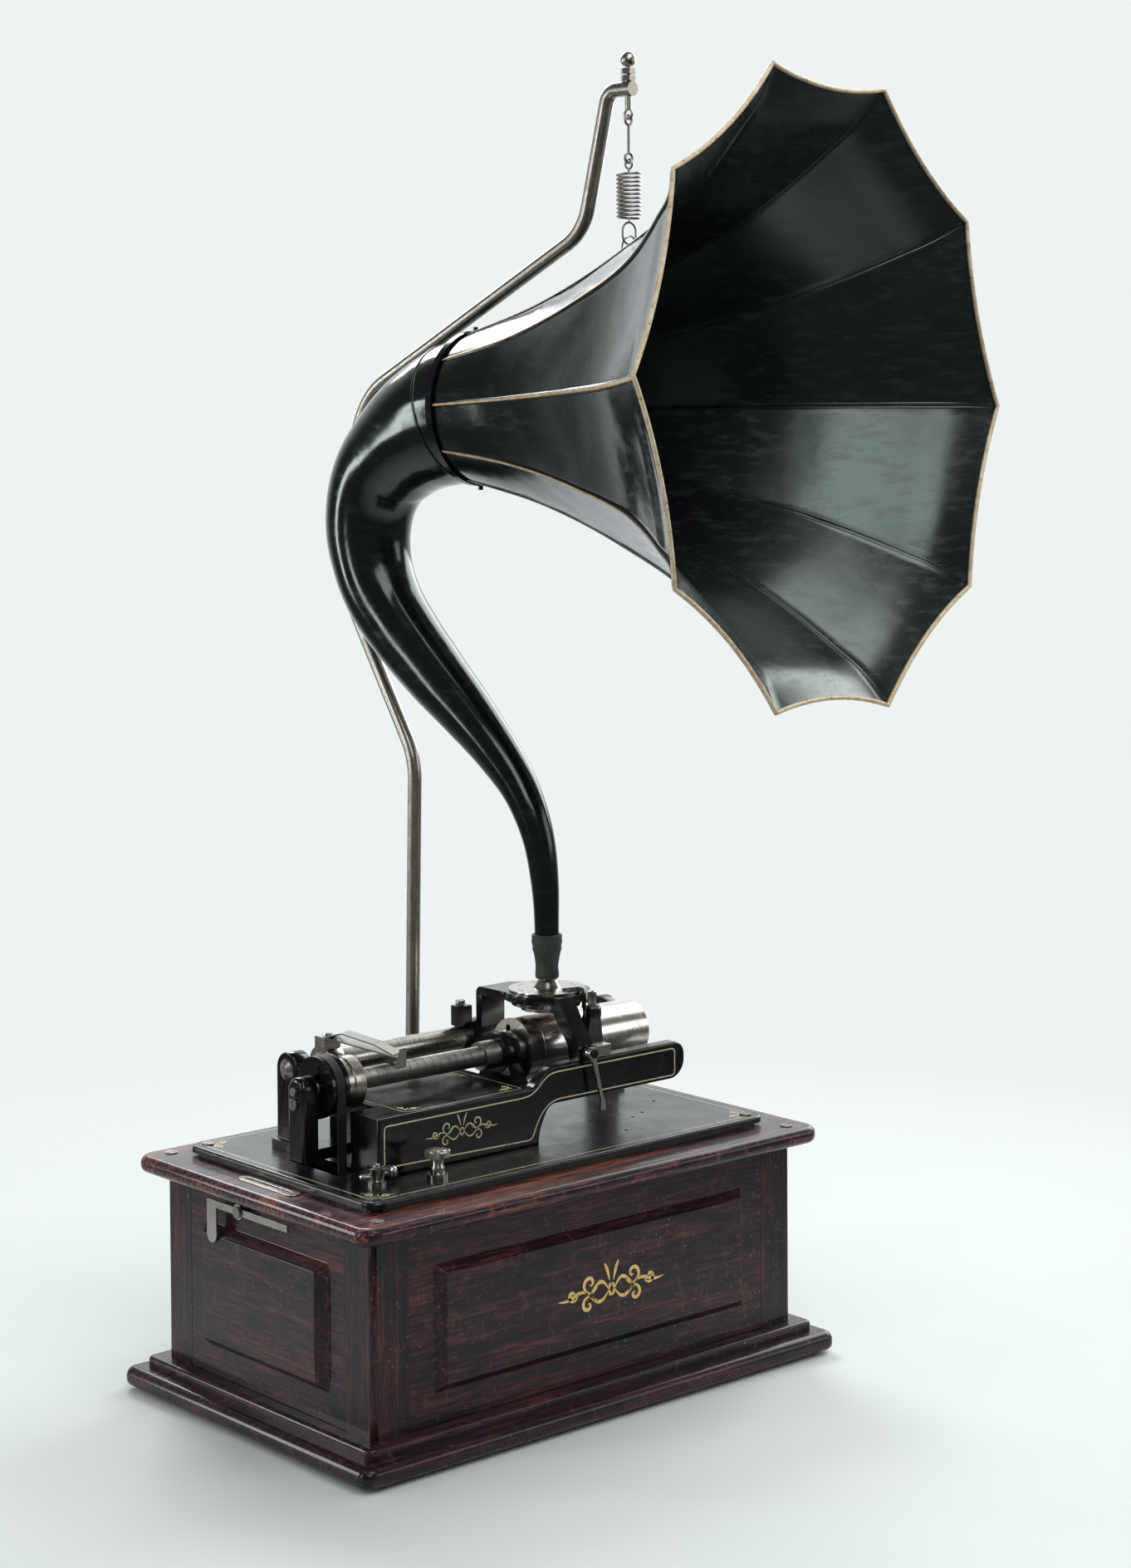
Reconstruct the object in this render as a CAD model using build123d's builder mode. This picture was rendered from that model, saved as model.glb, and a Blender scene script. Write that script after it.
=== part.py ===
from build123d import *
from math import cos, radians, sin, sqrt
import os

# A wind-up cylinder phonograph in an oak case, with a swan-neck horn hung from a crane.
# Millimetres. +Z up, -Y is the front, +X is the mandrel's free end. The origin is on the
# surface that the case stands on, under the middle of the case.

# ---------------------------------------------------------------- driving dimensions
case_w = 387.0            # outside width of the case walls, along X
case_d = 242.4            # outside depth of the case walls, along Y
wall = 12.0               # thickness of the boards
post = 30.0               # width of a corner post
foot_h = 2.5              # felt glides under the base
base_top = 24.0           # top of the base moulding
case_top = 157.0          # top of the walls
board_top = 169.4         # top of the lid board that carries the works
board_over = 17.2         # how far the top board stands out past the walls
base_over = 24.5          # how far the base moulding stands out past the walls
bed_w = 367.0             # bedplate
bed_d = 221.0
bed_y = 2.0
bed_top = 176.5
deck = 217.0              # top of the main casting
axis_y = -5.0             # mandrel and feed screw
axis_z = 232.0
rod_y = 47.0              # back rod that the carriage slides on
rod_z = 234.0
mandrel_x0 = 24.0
mandrel_x1 = 140.0
mandrel_r0 = 23.3
mandrel_r1 = 21.2
ring_x = 57.6             # reproducer, connector and horn stand over this point of the mandrel
fit = 0.05                # radial clearance of a running fit
gap = 0.3                 # clearance between pieces that only pass each other

# horn: everything lies in one upright plane through the connector
horn_turn = -78.7         # direction the horn faces, degrees from +X
bell_tilt = 1.8           # the bell looks up a little
bell_reach = 250.7        # connector to the middle of the mouth
bell_z = 711.3
bell_len = 310.0
bell_sides = 10
bell_twist = 15.3         # first seam, degrees from straight up
sheet_t = 0.9             # thickness of the horn's sheet metal

# bell stations: distance behind the mouth, radius at the seams, radius mid-panel / seam radius
bell_stations = [
    (0.0, 228.0, 0.917), (12.0, 209.5, 0.925), (37.0, 185.0, 0.937), (77.0, 151.5, 0.948),
    (155.0, 108.5, 0.958), (233.0, 76.7, 0.975), (bell_len, 56.0, 1.0),
]
# neck stations: distance in front of the connector, height, outside radius
neck_stations = [
    (-78.0, 698.0, 53.4), (-97.0, 692.0, 50.6), (-119.0, 682.5, 46.2), (-140.0, 669.0, 41.4),
    (-158.0, 652.0, 37.6), (-168.5, 632.0, 35.0), (-172.5, 606.0, 32.8), (-168.0, 580.0, 30.6),
    (-155.0, 553.0, 28.8), (-134.0, 528.0, 27.0), (-104.0, 499.0, 24.4), (-75.0, 473.0, 21.0),
    (-44.0, 443.0, 17.0), (-22.0, 416.0, 14.2), (-8.0, 386.0, 12.2), (-1.5, 352.0, 10.4),
]
neck_foot = 318.0         # the neck is straight below this height
neck_foot_r = 9.2
spigot_z = 285.0          # ball that the connector tilts on

# motor: every arbor lies along X
barrel_y = 45.0
barrel_z = 95.0
plate_left = -118.0
plate_right = -4.0
plate_t = 4.0
crank_arm = 76.0
belt_x = -147.0           # middle of the belt

# crane
crane_post_x = 47.1
crane_post_y = 145.0
crane_r = 5.4
hook_reach = 80.0         # hanging ring, in front of the connector
crane_top = 930.0

os.makedirs("parts", exist_ok=True)


# ---------------------------------------------------------------- shapes that repeat
def block(x0, x1, y0, y1, z0, z1, mode=Mode.ADD):
    """A box between two corners."""
    with Locations(((x0 + x1) / 2, (y0 + y1) / 2, (z0 + z1) / 2)):
        Box(x1 - x0, y1 - y0, z1 - z0, mode=mode)


def round_x(x0, x1, y, z, radius, hole=0.0, mode=Mode.ADD):
    """A round piece along X, with a bore if hole isn't zero."""
    with BuildSketch(Plane.YZ.offset(x0)) as section:
        with Locations((y, z)):
            Circle(radius)
            if hole > 0:
                Circle(hole, mode=Mode.SUBTRACT)
    extrude(section.sketch, amount=x1 - x0, mode=mode)


def round_z(x, y, z0, z1, radius, hole=0.0, mode=Mode.ADD):
    """A round piece along Z, with a bore if hole isn't zero."""
    with BuildSketch(Plane.XY.offset(z0)) as section:
        with Locations((x, y)):
            Circle(radius)
            if hole > 0:
                Circle(hole, mode=Mode.SUBTRACT)
    extrude(section.sketch, amount=z1 - z0, mode=mode)


def round_y(x, z, y0, y1, radius, mode=Mode.ADD):
    """A round piece along Y."""
    with BuildSketch(Plane.XZ.offset(-y1)) as section:
        with Locations((x, z)):
            Circle(radius)
    extrude(section.sketch, amount=y1 - y0, mode=mode)


def cone_x(x0, x1, y, z, radius0, radius1, mode=Mode.ADD):
    """A straight taper along X."""
    with BuildSketch(Plane.YZ.offset(x0)) as first:
        with Locations((y, z)):
            Circle(radius0)
    with BuildSketch(Plane.YZ.offset(x1)) as second:
        with Locations((y, z)):
            Circle(radius1)
    loft([first.sketch.faces()[0], second.sketch.faces()[0]], mode=mode)


def gear_x(x0, x1, y, z, teeth, module, turn=0.0):
    """A spur gear along X; turn is the angle of its first tooth from +Y, in degrees."""
    pitch_r = teeth * module / 2
    root_r = pitch_r - 1.15 * module
    tip_r = pitch_r + 0.8 * module
    half_root = 0.72 * module
    half_tip = 0.28 * module
    with BuildSketch(Plane.YZ.offset(x0)) as section:
        with Locations((y, z)):
            Circle(root_r)
            with PolarLocations(0, teeth, start_angle=turn):
                Polygon(
                    (root_r - 0.3 * module, -half_root), (tip_r, -half_tip),
                    (tip_r, half_tip), (root_r - 0.3 * module, half_root), align=None,
                )
    extrude(section.sketch, amount=x1 - x0)


def wire_loop(plane, middle_r, wire_r):
    """A closed ring of round wire lying in a plane; middle_r is to the wire's middle."""
    with Locations(plane.location):
        Torus(middle_r, wire_r)


def horn_point(reach, height):
    """A point in the horn's plane: reach in front of the connector, at a height."""
    return Vector(
        ring_x + reach * cos(radians(horn_turn)), axis_y + reach * sin(radians(horn_turn)), height,
    )


# ---------------------------------------------------------------- case
half_w = case_w / 2
half_d = case_d / 2

with BuildPart() as base_moulding:
    with BuildSketch(Plane.XY.offset(foot_h)):
        RectangleRounded(case_w + 2 * base_over, case_d + 2 * base_over, 9)
    extrude(amount=14)
    fillet(base_moulding.edges().group_by(Axis.Z)[-1], radius=6.8)
    fillet(base_moulding.edges().group_by(Axis.Z)[0], radius=5.0)
    with BuildSketch(Plane.XY.offset(foot_h + 14)):
        RectangleRounded(case_w + 24, case_d + 24, 6)
    extrude(amount=base_top - foot_h - 14)
    fillet(base_moulding.edges().group_by(Axis.Z)[-1], radius=3.0)
    block(-half_w + wall, half_w - wall, -half_d + wall, half_d - wall, 0, base_top + 1,
          mode=Mode.SUBTRACT)
base_moulding.part.label = "base_moulding"
export_step(base_moulding.part, "parts/base_moulding.step")

with BuildPart() as feet:
    with BuildSketch():
        with GridLocations(case_w + 10, case_d + 10, 2, 2):
            Circle(11)
    extrude(amount=foot_h)
    round_z(0, 0, 0, 12, 11)
feet.part.label = "feet"
export_step(feet.part, "parts/feet.step")

with BuildPart() as bottom_board:
    block(-half_w + wall, half_w - wall, -half_d + wall, half_d - wall, 12, 20)
    with BuildSketch(Plane.XY.offset(12)):
        with GridLocations(60, 0, 4, 1):
            SlotOverall(40, 12)
    extrude(amount=8, mode=Mode.SUBTRACT)
bottom_board.part.label = "bottom_board"
export_step(bottom_board.part, "parts/bottom_board.step")

with BuildPart() as corner_posts:
    with BuildSketch(Plane.XY.offset(base_top)):
        with GridLocations(case_w - post, case_d - post, 2, 2):
            Rectangle(post, post)
    extrude(amount=case_top - base_top)
    for side_x in (-1, 1):
        for side_y in (-1, 1):
            outer_edge = corner_posts.edges().filter_by(Axis.Z).sort_by(
                lambda edge: edge.center().X * side_x + edge.center().Y * side_y)[-1]
            fillet(outer_edge, radius=4)
corner_posts.part.label = "corner_posts"
export_step(corner_posts.part, "parts/corner_posts.step")


field_z0 = 45.5           # raised fields of the panels
field_z1 = 132.0
field_rise = 7.0
field_slope = 6.0


def field_x(half_length, side):
    """The raised field of a front or rear board: side is -1 at the front, 1 at the rear."""
    middle = (field_z0 + field_z1) / 2
    height = field_z1 - field_z0
    face = Plane((0, side * half_d, middle), x_dir=(1, 0, 0), z_dir=(0, side, 0))
    with BuildSketch(face) as foot:
        Rectangle(2 * half_length, height)
    with BuildSketch(face.offset(field_rise)) as top:
        Rectangle(2 * half_length - 2 * field_slope, height - 2 * field_slope)
    loft([foot.sketch.faces()[0], top.sketch.faces()[0]])


def field_y(half_length, side):
    """The raised field of an end board: side is -1 on the left, 1 on the right."""
    middle = (field_z0 + field_z1) / 2
    height = field_z1 - field_z0
    face = Plane((side * half_w, 0, middle), x_dir=(0, 1, 0), z_dir=(side, 0, 0))
    with BuildSketch(face) as foot:
        Rectangle(2 * half_length, height)
    with BuildSketch(face.offset(field_rise)) as top:
        Rectangle(2 * half_length - 2 * field_slope, height - 2 * field_slope)
    loft([foot.sketch.faces()[0], top.sketch.faces()[0]])


crank_y = barrel_y - 40.0
crank_z = barrel_z
crank_hole_r = 9.0

with BuildPart() as front_board:
    block(-half_w + post, half_w - post, -half_d, -half_d + wall, base_top, case_top)
    field_x(142.7, -1)
front_board.part.label = "front_board"
export_step(front_board.part, "parts/front_board.step")

with BuildPart() as rear_board:
    block(-half_w + post, half_w - post, half_d - wall, half_d, base_top, case_top)
    field_x(142.7, 1)
rear_board.part.label = "rear_board"
export_step(rear_board.part, "parts/rear_board.step")

with BuildPart() as left_board:
    block(-half_w, -half_w + wall, -half_d + post, half_d - post, base_top, case_top)
    field_y(72, -1)
left_board.part.label = "left_board"
export_step(left_board.part, "parts/left_board.step")

with BuildPart() as right_board:
    block(half_w - wall, half_w, -half_d + post, half_d - post, base_top, case_top)
    field_y(72, 1)
    round_x(half_w - wall - 1, half_w + field_rise + 1, crank_y, crank_z, crank_hole_r,
            mode=Mode.SUBTRACT)
right_board.part.label = "right_board"
export_step(right_board.part, "parts/right_board.step")

board_w = case_w + 2 * board_over
board_d = case_d + 2 * board_over
well_w = 330.0            # opening in the top board that the motor hangs through
well_d = 186.0

with BuildPart() as top_board:
    with BuildSketch(Plane.XY.offset(case_top)):
        RectangleRounded(board_w, board_d, 13)
    extrude(amount=board_top - case_top)
    fillet(top_board.edges().group_by(Axis.Z)[-1], radius=5.6)
    fillet(top_board.edges().group_by(Axis.Z)[0], radius=5.6)
    with BuildSketch(Plane.XY.offset(case_top)):
        with Locations((0, bed_y)):
            Rectangle(well_w, well_d)
    extrude(amount=board_top - case_top, mode=Mode.SUBTRACT)
top_board.part.label = "top_board"
export_step(top_board.part, "parts/top_board.step")

screw_r = 4.6             # countersunk heads of the board's and the bedplate's screws
latch_z = 149.5
latch_pivot_y = 20.0


def slotted_head(x, y, z0, z1):
    """The head of a countersunk screw, with its slot."""
    round_z(x, y, z0, z1, screw_r)
    block(x - screw_r, x + screw_r, y - 0.45, y + 0.45, z1 - 0.4, z1 + 0.1, mode=Mode.SUBTRACT)


with BuildPart() as case_screws:
    for side_x in (-1, 1):
        for side_y in (-1, 1):
            slotted_head(side_x * 189.5, side_y * 121.8, board_top, board_top + 0.7)
            slotted_head(side_x * 171.5, bed_y + side_y * 99, bed_top, bed_top + 0.9)
        x0, x1 = sorted((side_x * half_w, side_x * (half_w + 9.2)))
        round_x(x0, x1, latch_pivot_y, latch_z, 2.5)
        x0, x1 = sorted((side_x * (half_w + 9.2), side_x * (half_w + 10.6)))
        round_x(x0, x1, latch_pivot_y, latch_z, 4.2)
case_screws.part.label = "case_screws"
export_step(case_screws.part, "parts/case_screws.step")

with BuildPart() as slot_plates:
    with BuildSketch(Plane.XY.offset(board_top)):
        with Locations((-191.2, -2), (191.2, -2)):
            SlotOverall(66, 11, rotation=90)
            SlotOverall(54, 3.4, rotation=90, mode=Mode.SUBTRACT)
    extrude(amount=1.0)
slot_plates.part.label = "slot_plates"
export_step(slot_plates.part, "parts/slot_plates.step")


def latch(side):
    """A lid latch under the board: a flat strip with a paddle bent down at its rear end."""
    inner = half_w + field_rise + gap
    x0, x1 = sorted((side * inner, side * (inner + 1.6)))
    block(x0, x1, -38, 58, latch_z - 2.5, latch_z + 2.5)
    block(x0, x1, 46.5, 58, latch_z - 22, latch_z + 2.5)
    round_x(x0, x1, 52.25, latch_z - 22, 5.75)
    round_x(x0, x1, latch_pivot_y, latch_z, 5.4)


with BuildPart() as left_latch:
    latch(-1)
    round_x(-half_w - 10, -half_w - 5, latch_pivot_y, latch_z, 2.5 + fit, mode=Mode.SUBTRACT)
left_latch.part.label = "left_latch"
export_step(left_latch.part, "parts/left_latch.step")

with BuildPart() as right_latch:
    latch(1)
    round_x(half_w + 5, half_w + 10, latch_pivot_y, latch_z, 2.5 + fit, mode=Mode.SUBTRACT)
right_latch.part.label = "right_latch"
export_step(right_latch.part, "parts/right_latch.step")

# ---------------------------------------------------------------- bedplate and main casting
belt_slot = (-156.0, -136.0, -33.0, 24.0)      # x0, x1, y0, y1 of the slot that the belt drops through
speed_x, speed_y = -109.0, -84.0
start_x, start_y = -149.0, -68.0

with BuildPart() as bedplate:
    with BuildSketch(Plane.XY.offset(board_top)):
        with Locations((0, bed_y)):
            RectangleRounded(bed_w - 9, bed_d - 9, 8)
    extrude(amount=2.6)
    with BuildSketch(Plane.XY.offset(board_top + 2.6)):
        with Locations((0, bed_y)):
            RectangleRounded(bed_w, bed_d, 12)
    extrude(amount=bed_top - board_top - 2.6)
    fillet(bedplate.edges().group_by(Axis.Z)[-1], radius=2.1)
    block(*belt_slot, board_top - 1, bed_top + 1, mode=Mode.SUBTRACT)
    round_z(start_x, start_y, board_top - 1, bed_top + 1, 5.0 + fit, mode=Mode.SUBTRACT)
    round_z(speed_x, speed_y, board_top - 1, bed_top + 1, 5.0 + fit, mode=Mode.SUBTRACT)
    with Locations(*[(x, y, bed_top) for x, y in ((75, -72), (120, -40), (105, -46), (150, -20))]):
        Hole(1.5)
bedplate.part.label = "bedplate"
export_step(bedplate.part, "parts/bedplate.step")

cast_x0 = -141.0
cast_x1 = 3.0
face_y = -60.0            # front face of the casting and of the rail
rail_y = -50.0            # back of the rail
rail_top = 230.0
rail_end = 145.0
notch_x = -119.0          # the pulley turns in a notch left of this
notch_y = -28.0

with BuildPart() as main_casting:
    with BuildSketch(Plane.XZ.offset(-face_y)):
        with BuildLine():
            left = Line((cast_x0, bed_top), (cast_x0, deck))
            top = Line(left @ 1, (-6, deck))
            rise = Spline(top @ 1, (5, 222.5), (16, rail_top), tangents=((1, 0), (1, 0.25)))
            crest = Line(rise @ 1, (rail_end - 9, rail_top))
            corner = RadiusArc(crest @ 1, (rail_end, rail_top - 10), 10)
            end = Line(corner @ 1, (rail_end, rail_top - 14))
            chin = RadiusArc(end @ 1, (rail_end - 14, 203), 14)
            under = Line(chin @ 1, (20, 203))
            throat = Spline(under @ 1, (8, 194), (cast_x1, bed_top),
                            tangents=((-1, 0), (0, -1)))
            Line(throat @ 1, left @ 0)
        make_face()
    extrude(amount=rail_y - face_y, dir=(0, 1, 0))
    block(cast_x0, cast_x1 - 4, rail_y, 26, bed_top, deck)
    fillet(main_casting.faces().sort_by(Axis.Y)[0].edges(), radius=1.8)
    block(cast_x0 + 6, cast_x1 - 10, rail_y + 2, 20, bed_top - 1, deck - 6, mode=Mode.SUBTRACT)
    block(cast_x0 - 1, notch_x, notch_y, 27, bed_top - 1, deck + 1, mode=Mode.SUBTRACT)
    block(notch_x, notch_x + 6, notch_y - 6, 26, bed_top, deck)
    block(cast_x0, notch_x, notch_y - 6, notch_y, bed_top, deck)
main_casting.part.label = "main_casting"
export_step(main_casting.part, "parts/main_casting.step")

yoke_x0 = -171.0
yoke_x1 = -158.5
yoke_half = 9.5

with BuildPart() as shaft_yoke:
    with BuildSketch(Plane.YZ.offset(yoke_x0)):
        with Locations((axis_y, axis_z)):
            Circle(yoke_half)
        with Locations((axis_y, (axis_z + 184) / 2)):
            Rectangle(2 * yoke_half, axis_z - 184)
    extrude(amount=yoke_x1 - yoke_x0)
    block(yoke_x1 - 1, notch_x, axis_y - yoke_half, axis_y + yoke_half, 184, 192)
    fillet(shaft_yoke.edges().filter_by(Axis.Z).group_by(Axis.X)[0], radius=3)
    round_x(yoke_x0 - 1, yoke_x1 + 1, axis_y, axis_z, 2.6, mode=Mode.SUBTRACT)
    round_x(yoke_x0 - 1, yoke_x0 + 6, axis_y + 1, axis_z - 8.6, 2.1, mode=Mode.SUBTRACT)
shaft_yoke.part.label = "shaft_yoke"
export_step(shaft_yoke.part, "parts/shaft_yoke.step")

support_x = ((-141.0, -127.0), (150.0, 164.0))

with BuildPart() as rod_supports:
    for x0, x1 in support_x:
        with BuildSketch(Plane.YZ.offset(x0)) as upright:
            with Locations((rod_y, rod_z)):
                Circle(12.3)
            with Locations((rod_y, (rod_z + bed_top) / 2)):
                Rectangle(24.6, rod_z - bed_top)
        extrude(upright.sketch, amount=x1 - x0)
        block(x0 - 3, x1 + 3, rod_y - 15.5, rod_y + 15.5, bed_top, bed_top + 7)
        round_x(x0 - 1, x1 + 1, rod_y, rod_z, 6.0, mode=Mode.SUBTRACT)
rod_supports.part.label = "rod_supports"
export_step(rod_supports.part, "parts/rod_supports.step")

with BuildPart() as back_rod:
    round_x(support_x[0][1], support_x[1][0], rod_y, rod_z, 6.0)
back_rod.part.label = "back_rod"
export_step(back_rod.part, "parts/back_rod.step")

with BuildPart() as centre_screws:
    cone_x(support_x[0][0] - 3.0, support_x[0][0], rod_y, rod_z, 3.5, 8.0)
    round_x(support_x[0][0], support_x[0][1], rod_y, rod_z, 5.9)
    round_x(support_x[1][0], support_x[1][1], rod_y, rod_z, 5.9)
    cone_x(support_x[1][1], support_x[1][1] + 3.0, rod_y, rod_z, 8.0, 3.5)
    round_x(yoke_x0 - 2.4, yoke_x1 + 2.5, axis_y, axis_z, 2.5)
    cone_x(yoke_x1 + 2.5, yoke_x1 + 6.7, axis_y, axis_z, 2.5, 0.5)
    round_x(yoke_x0 - 2.4, yoke_x0, axis_y, axis_z, 3.0)
    round_x(yoke_x0, yoke_x0 + 5, axis_y + 1, axis_z - 8.6, 2.0)
    round_x(yoke_x0 - 1.8, yoke_x0, axis_y + 1, axis_z - 8.6, 4.25)
    block(yoke_x0 - 1.9, yoke_x0 - 1.2, axis_y + 0.5, axis_y + 1.5, axis_z - 13, axis_z - 4.2,
          mode=Mode.SUBTRACT)
centre_screws.part.label = "centre_screws"
export_step(centre_screws.part, "parts/centre_screws.step")

journal_r = 8.0
bearing_x0 = 6.0
bearing_x1 = 19.5

with BuildPart() as mandrel_bearing:
    round_x(bearing_x0, bearing_x1, axis_y, axis_z, 15.3)
    with BuildSketch(Plane.XY.offset(deck - 12)) as foot:
        with Locations(((bearing_x0 + bearing_x1) / 2, axis_y - 4)):
            Rectangle(bearing_x1 - bearing_x0, 50)
    with BuildSketch(Plane.XY.offset(axis_z - 6)) as waist:
        with Locations(((bearing_x0 + bearing_x1) / 2, axis_y)):
            Rectangle(bearing_x1 - bearing_x0 - 2, 27)
    loft([foot.sketch.faces()[0], waist.sketch.faces()[0]])
    block(cast_x1 - 4, bearing_x1, axis_y - 29, axis_y + 21, bed_top, deck - 12)
    round_x(bearing_x0 - 1, bearing_x1 + 1, axis_y, axis_z, journal_r + fit, mode=Mode.SUBTRACT)
    with Locations(Location(((bearing_x0 + bearing_x1) / 2, axis_y, axis_z + 14))):
        Cylinder(1.2, 8, mode=Mode.SUBTRACT)
mandrel_bearing.part.label = "mandrel_bearing"
export_step(mandrel_bearing.part, "parts/mandrel_bearing.step")

# ---------------------------------------------------------------- mandrel and its drive
upper_r = 20.0            # the belt runs on these radii
lower_r = 15.0
belt_w = 7.0
belt_t = 1.4

with BuildPart() as feed_screw:
    round_x(-155.5, -123, axis_y, axis_z, 5.0)
    round_x(-123, -8, axis_y, axis_z, 7.3)
    round_x(-8, bearing_x0 - gap, axis_y, axis_z, 10.3)
    round_x(bearing_x0 - gap, bearing_x1 + gap, axis_y, axis_z, journal_r)
    round_x(bearing_x1 + gap, mandrel_x0, axis_y, axis_z, 11.0)
    round_x(mandrel_x0, mandrel_x1 - 6, axis_y, axis_z, 6.0)
    with Locations(Location((-155.5, axis_y, axis_z), (0, 90, 0))):
        Cone(3.2, 0.6, 4.6, align=(Align.CENTER, Align.CENTER, Align.MIN), mode=Mode.SUBTRACT)
    for groove_x in range(-118, -12, 7):
        round_x(groove_x, groove_x + 0.5, axis_y, axis_z, 9, hole=7.05, mode=Mode.SUBTRACT)
feed_screw.part.label = "feed_screw"
export_step(feed_screw.part, "parts/feed_screw.step")

with BuildPart() as mandrel:
    cone_x(mandrel_x0, mandrel_x1, axis_y, axis_z, mandrel_r0, mandrel_r1)
    cone_x(mandrel_x0 + 3, mandrel_x1 + 0.1, axis_y, axis_z, mandrel_r0 - 2.5, mandrel_r1 - 1.8,
           mode=Mode.SUBTRACT)
    round_x(mandrel_x0, mandrel_x0 + 12, axis_y, axis_z, 10)
    round_x(mandrel_x1 - 14, mandrel_x1 - 11, axis_y, axis_z, mandrel_r1 - 1.5)
    round_x(mandrel_x0 - 1, mandrel_x1 + 1, axis_y, axis_z, 6.0, mode=Mode.SUBTRACT)
    with Locations(Location((mandrel_x0, axis_y + 5, axis_z + 15.5), (0, 90, 0))):
        Cylinder(2.6, 10, mode=Mode.SUBTRACT)
    round_x(36, 36.7, axis_y, axis_z, 24, hole=22.7, mode=Mode.SUBTRACT)
mandrel.part.label = "mandrel"
export_step(mandrel.part, "parts/mandrel.step")

with BuildPart() as upper_pulley:
    round_x(-154, -151.5, axis_y, axis_z, 21.6)
    round_x(-151.5, -142.5, axis_y, axis_z, upper_r)
    round_x(-142.5, -139.5, axis_y, axis_z, 21.6)
    round_x(-139.5, -136.5, axis_y, axis_z, 14)
    round_x(-160, -136, axis_y, axis_z, 5.0, mode=Mode.SUBTRACT)
    with Locations(Location((-154, axis_y - 2, axis_z + 12), (0, 90, 0))):
        Cylinder(4.0, 1.6, align=(Align.CENTER, Align.CENTER, Align.CENTER))
upper_pulley.part.label = "upper_pulley"
export_step(upper_pulley.part, "parts/upper_pulley.step")

with BuildPart() as pulley_ring:
    round_x(-136.5, -131.5, axis_y, axis_z, 17.4)
    round_x(-131.5, -123, axis_y, axis_z, 18.4)
    round_x(-137, -122, axis_y, axis_z, 5.0, mode=Mode.SUBTRACT)
pulley_ring.part.label = "pulley_ring"
export_step(pulley_ring.part, "parts/pulley_ring.step")

# arbors of the motor, from the barrel to the governor
arbor2_y = barrel_y - 45 * cos(radians(20))
arbor2_z = barrel_z - 45 * sin(radians(20))
arbor3_y = arbor2_y - 28 * sin(radians(30))
arbor3_z = arbor2_z + 28 * cos(radians(30))
governor_y = arbor3_y - 21 * cos(radians(30))
governor_z = arbor3_z + 21 * sin(radians(30))


def belt_band(outward):
    """The outline that wraps both pulleys, a distance outside the belt's inner face."""
    upper = upper_r + 0.25 + outward
    lower = lower_r + 0.25 + outward
    length = sqrt((arbor3_y - axis_y) ** 2 + (arbor3_z - axis_z) ** 2)
    down = ((arbor3_y - axis_y) / length, (arbor3_z - axis_z) / length)
    lean = (upper - lower) / length
    corners = []
    for side, middle_y, middle_z, radius in (
        (1, axis_y, axis_z, upper), (1, arbor3_y, arbor3_z, lower),
        (-1, arbor3_y, arbor3_z, lower), (-1, axis_y, axis_z, upper),
    ):
        across = side * sqrt(1 - lean * lean)
        corners.append((
            middle_y + radius * (down[0] * lean - down[1] * across),
            middle_z + radius * (down[1] * lean + down[0] * across),
        ))
    Polygon(*corners, align=None)
    with Locations((axis_y, axis_z)):
        Circle(upper)
    with Locations((arbor3_y, arbor3_z)):
        Circle(lower)


with BuildPart() as drive_belt:
    with BuildSketch(Plane.YZ.offset(belt_x - belt_w / 2)) as outer_band:
        belt_band(belt_t)
    with BuildSketch(Plane.YZ.offset(belt_x - belt_w / 2)) as inner_band:
        belt_band(0)
    extrude(outer_band.sketch, amount=belt_w)
    extrude(inner_band.sketch, amount=belt_w, mode=Mode.SUBTRACT)
drive_belt.part.label = "drive_belt"
export_step(drive_belt.part, "parts/drive_belt.step")

# ---------------------------------------------------------------- carriage
sleeve_r = 8.5
sleeve_x0 = -112.0
sleeve_x1 = 52.0

with BuildPart() as carriage_sleeve:
    round_x(sleeve_x0, sleeve_x1, rod_y, rod_z, sleeve_r, hole=6.0 + fit)
carriage_sleeve.part.label = "carriage_sleeve"
export_step(carriage_sleeve.part, "parts/carriage_sleeve.step")


def tilted_box(start, end, width, t0, t1, mode=Mode.ADD):
    """A strip from one point to another, as wide as given, from t0 to t1 above that line."""
    along = Vector(*end) - Vector(*start)
    sideways = along.cross(Vector(0, 0, 1)).normalized()
    upward = sideways.cross(along).normalized()
    middle = (Vector(*start) + Vector(*end)) * 0.5 + upward * ((t0 + t1) / 2)
    with Locations(Plane(middle, x_dir=along.normalized(), z_dir=upward).location):
        Box(along.length, width, abs(t1 - t0), mode=mode)


nut_strip = ((-104.6, 41.5, 252.6), (-81.5, -9.0, 243.4))      # flat spring that carries the half nut
nut_w = 14.0

with BuildPart() as half_nut_arm:
    round_x(-112, -98, rod_y, rod_z, 12.5, hole=sleeve_r + fit)
    block(-112, -98, rod_y - 6, rod_y + 6, rod_z + 9.2, 252)
    block(-112, -98, rod_y - 6, rod_y + 6, 252, 253.2)
    tilted_box(*nut_strip, nut_w, 0, 1.0)
    round_z(-105, rod_y, 253.2, 255.4, 3.4)
    tilted_box((-105, rod_y - 3.5, 253.4), (-100, 32, 256.6), 12, 0, 0.9)
    tilted_box((-100.2, 32.4, 256.6), (-90, 8, 251.4), 12, 0, 0.9)
    tilted_box((-90.2, 8.4, 251.4), (-83.8, -5.5, 245.4), 12, 0, 0.9)
half_nut_arm.part.label = "half_nut_arm"
export_step(half_nut_arm.part, "parts/half_nut_arm.step")

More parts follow.
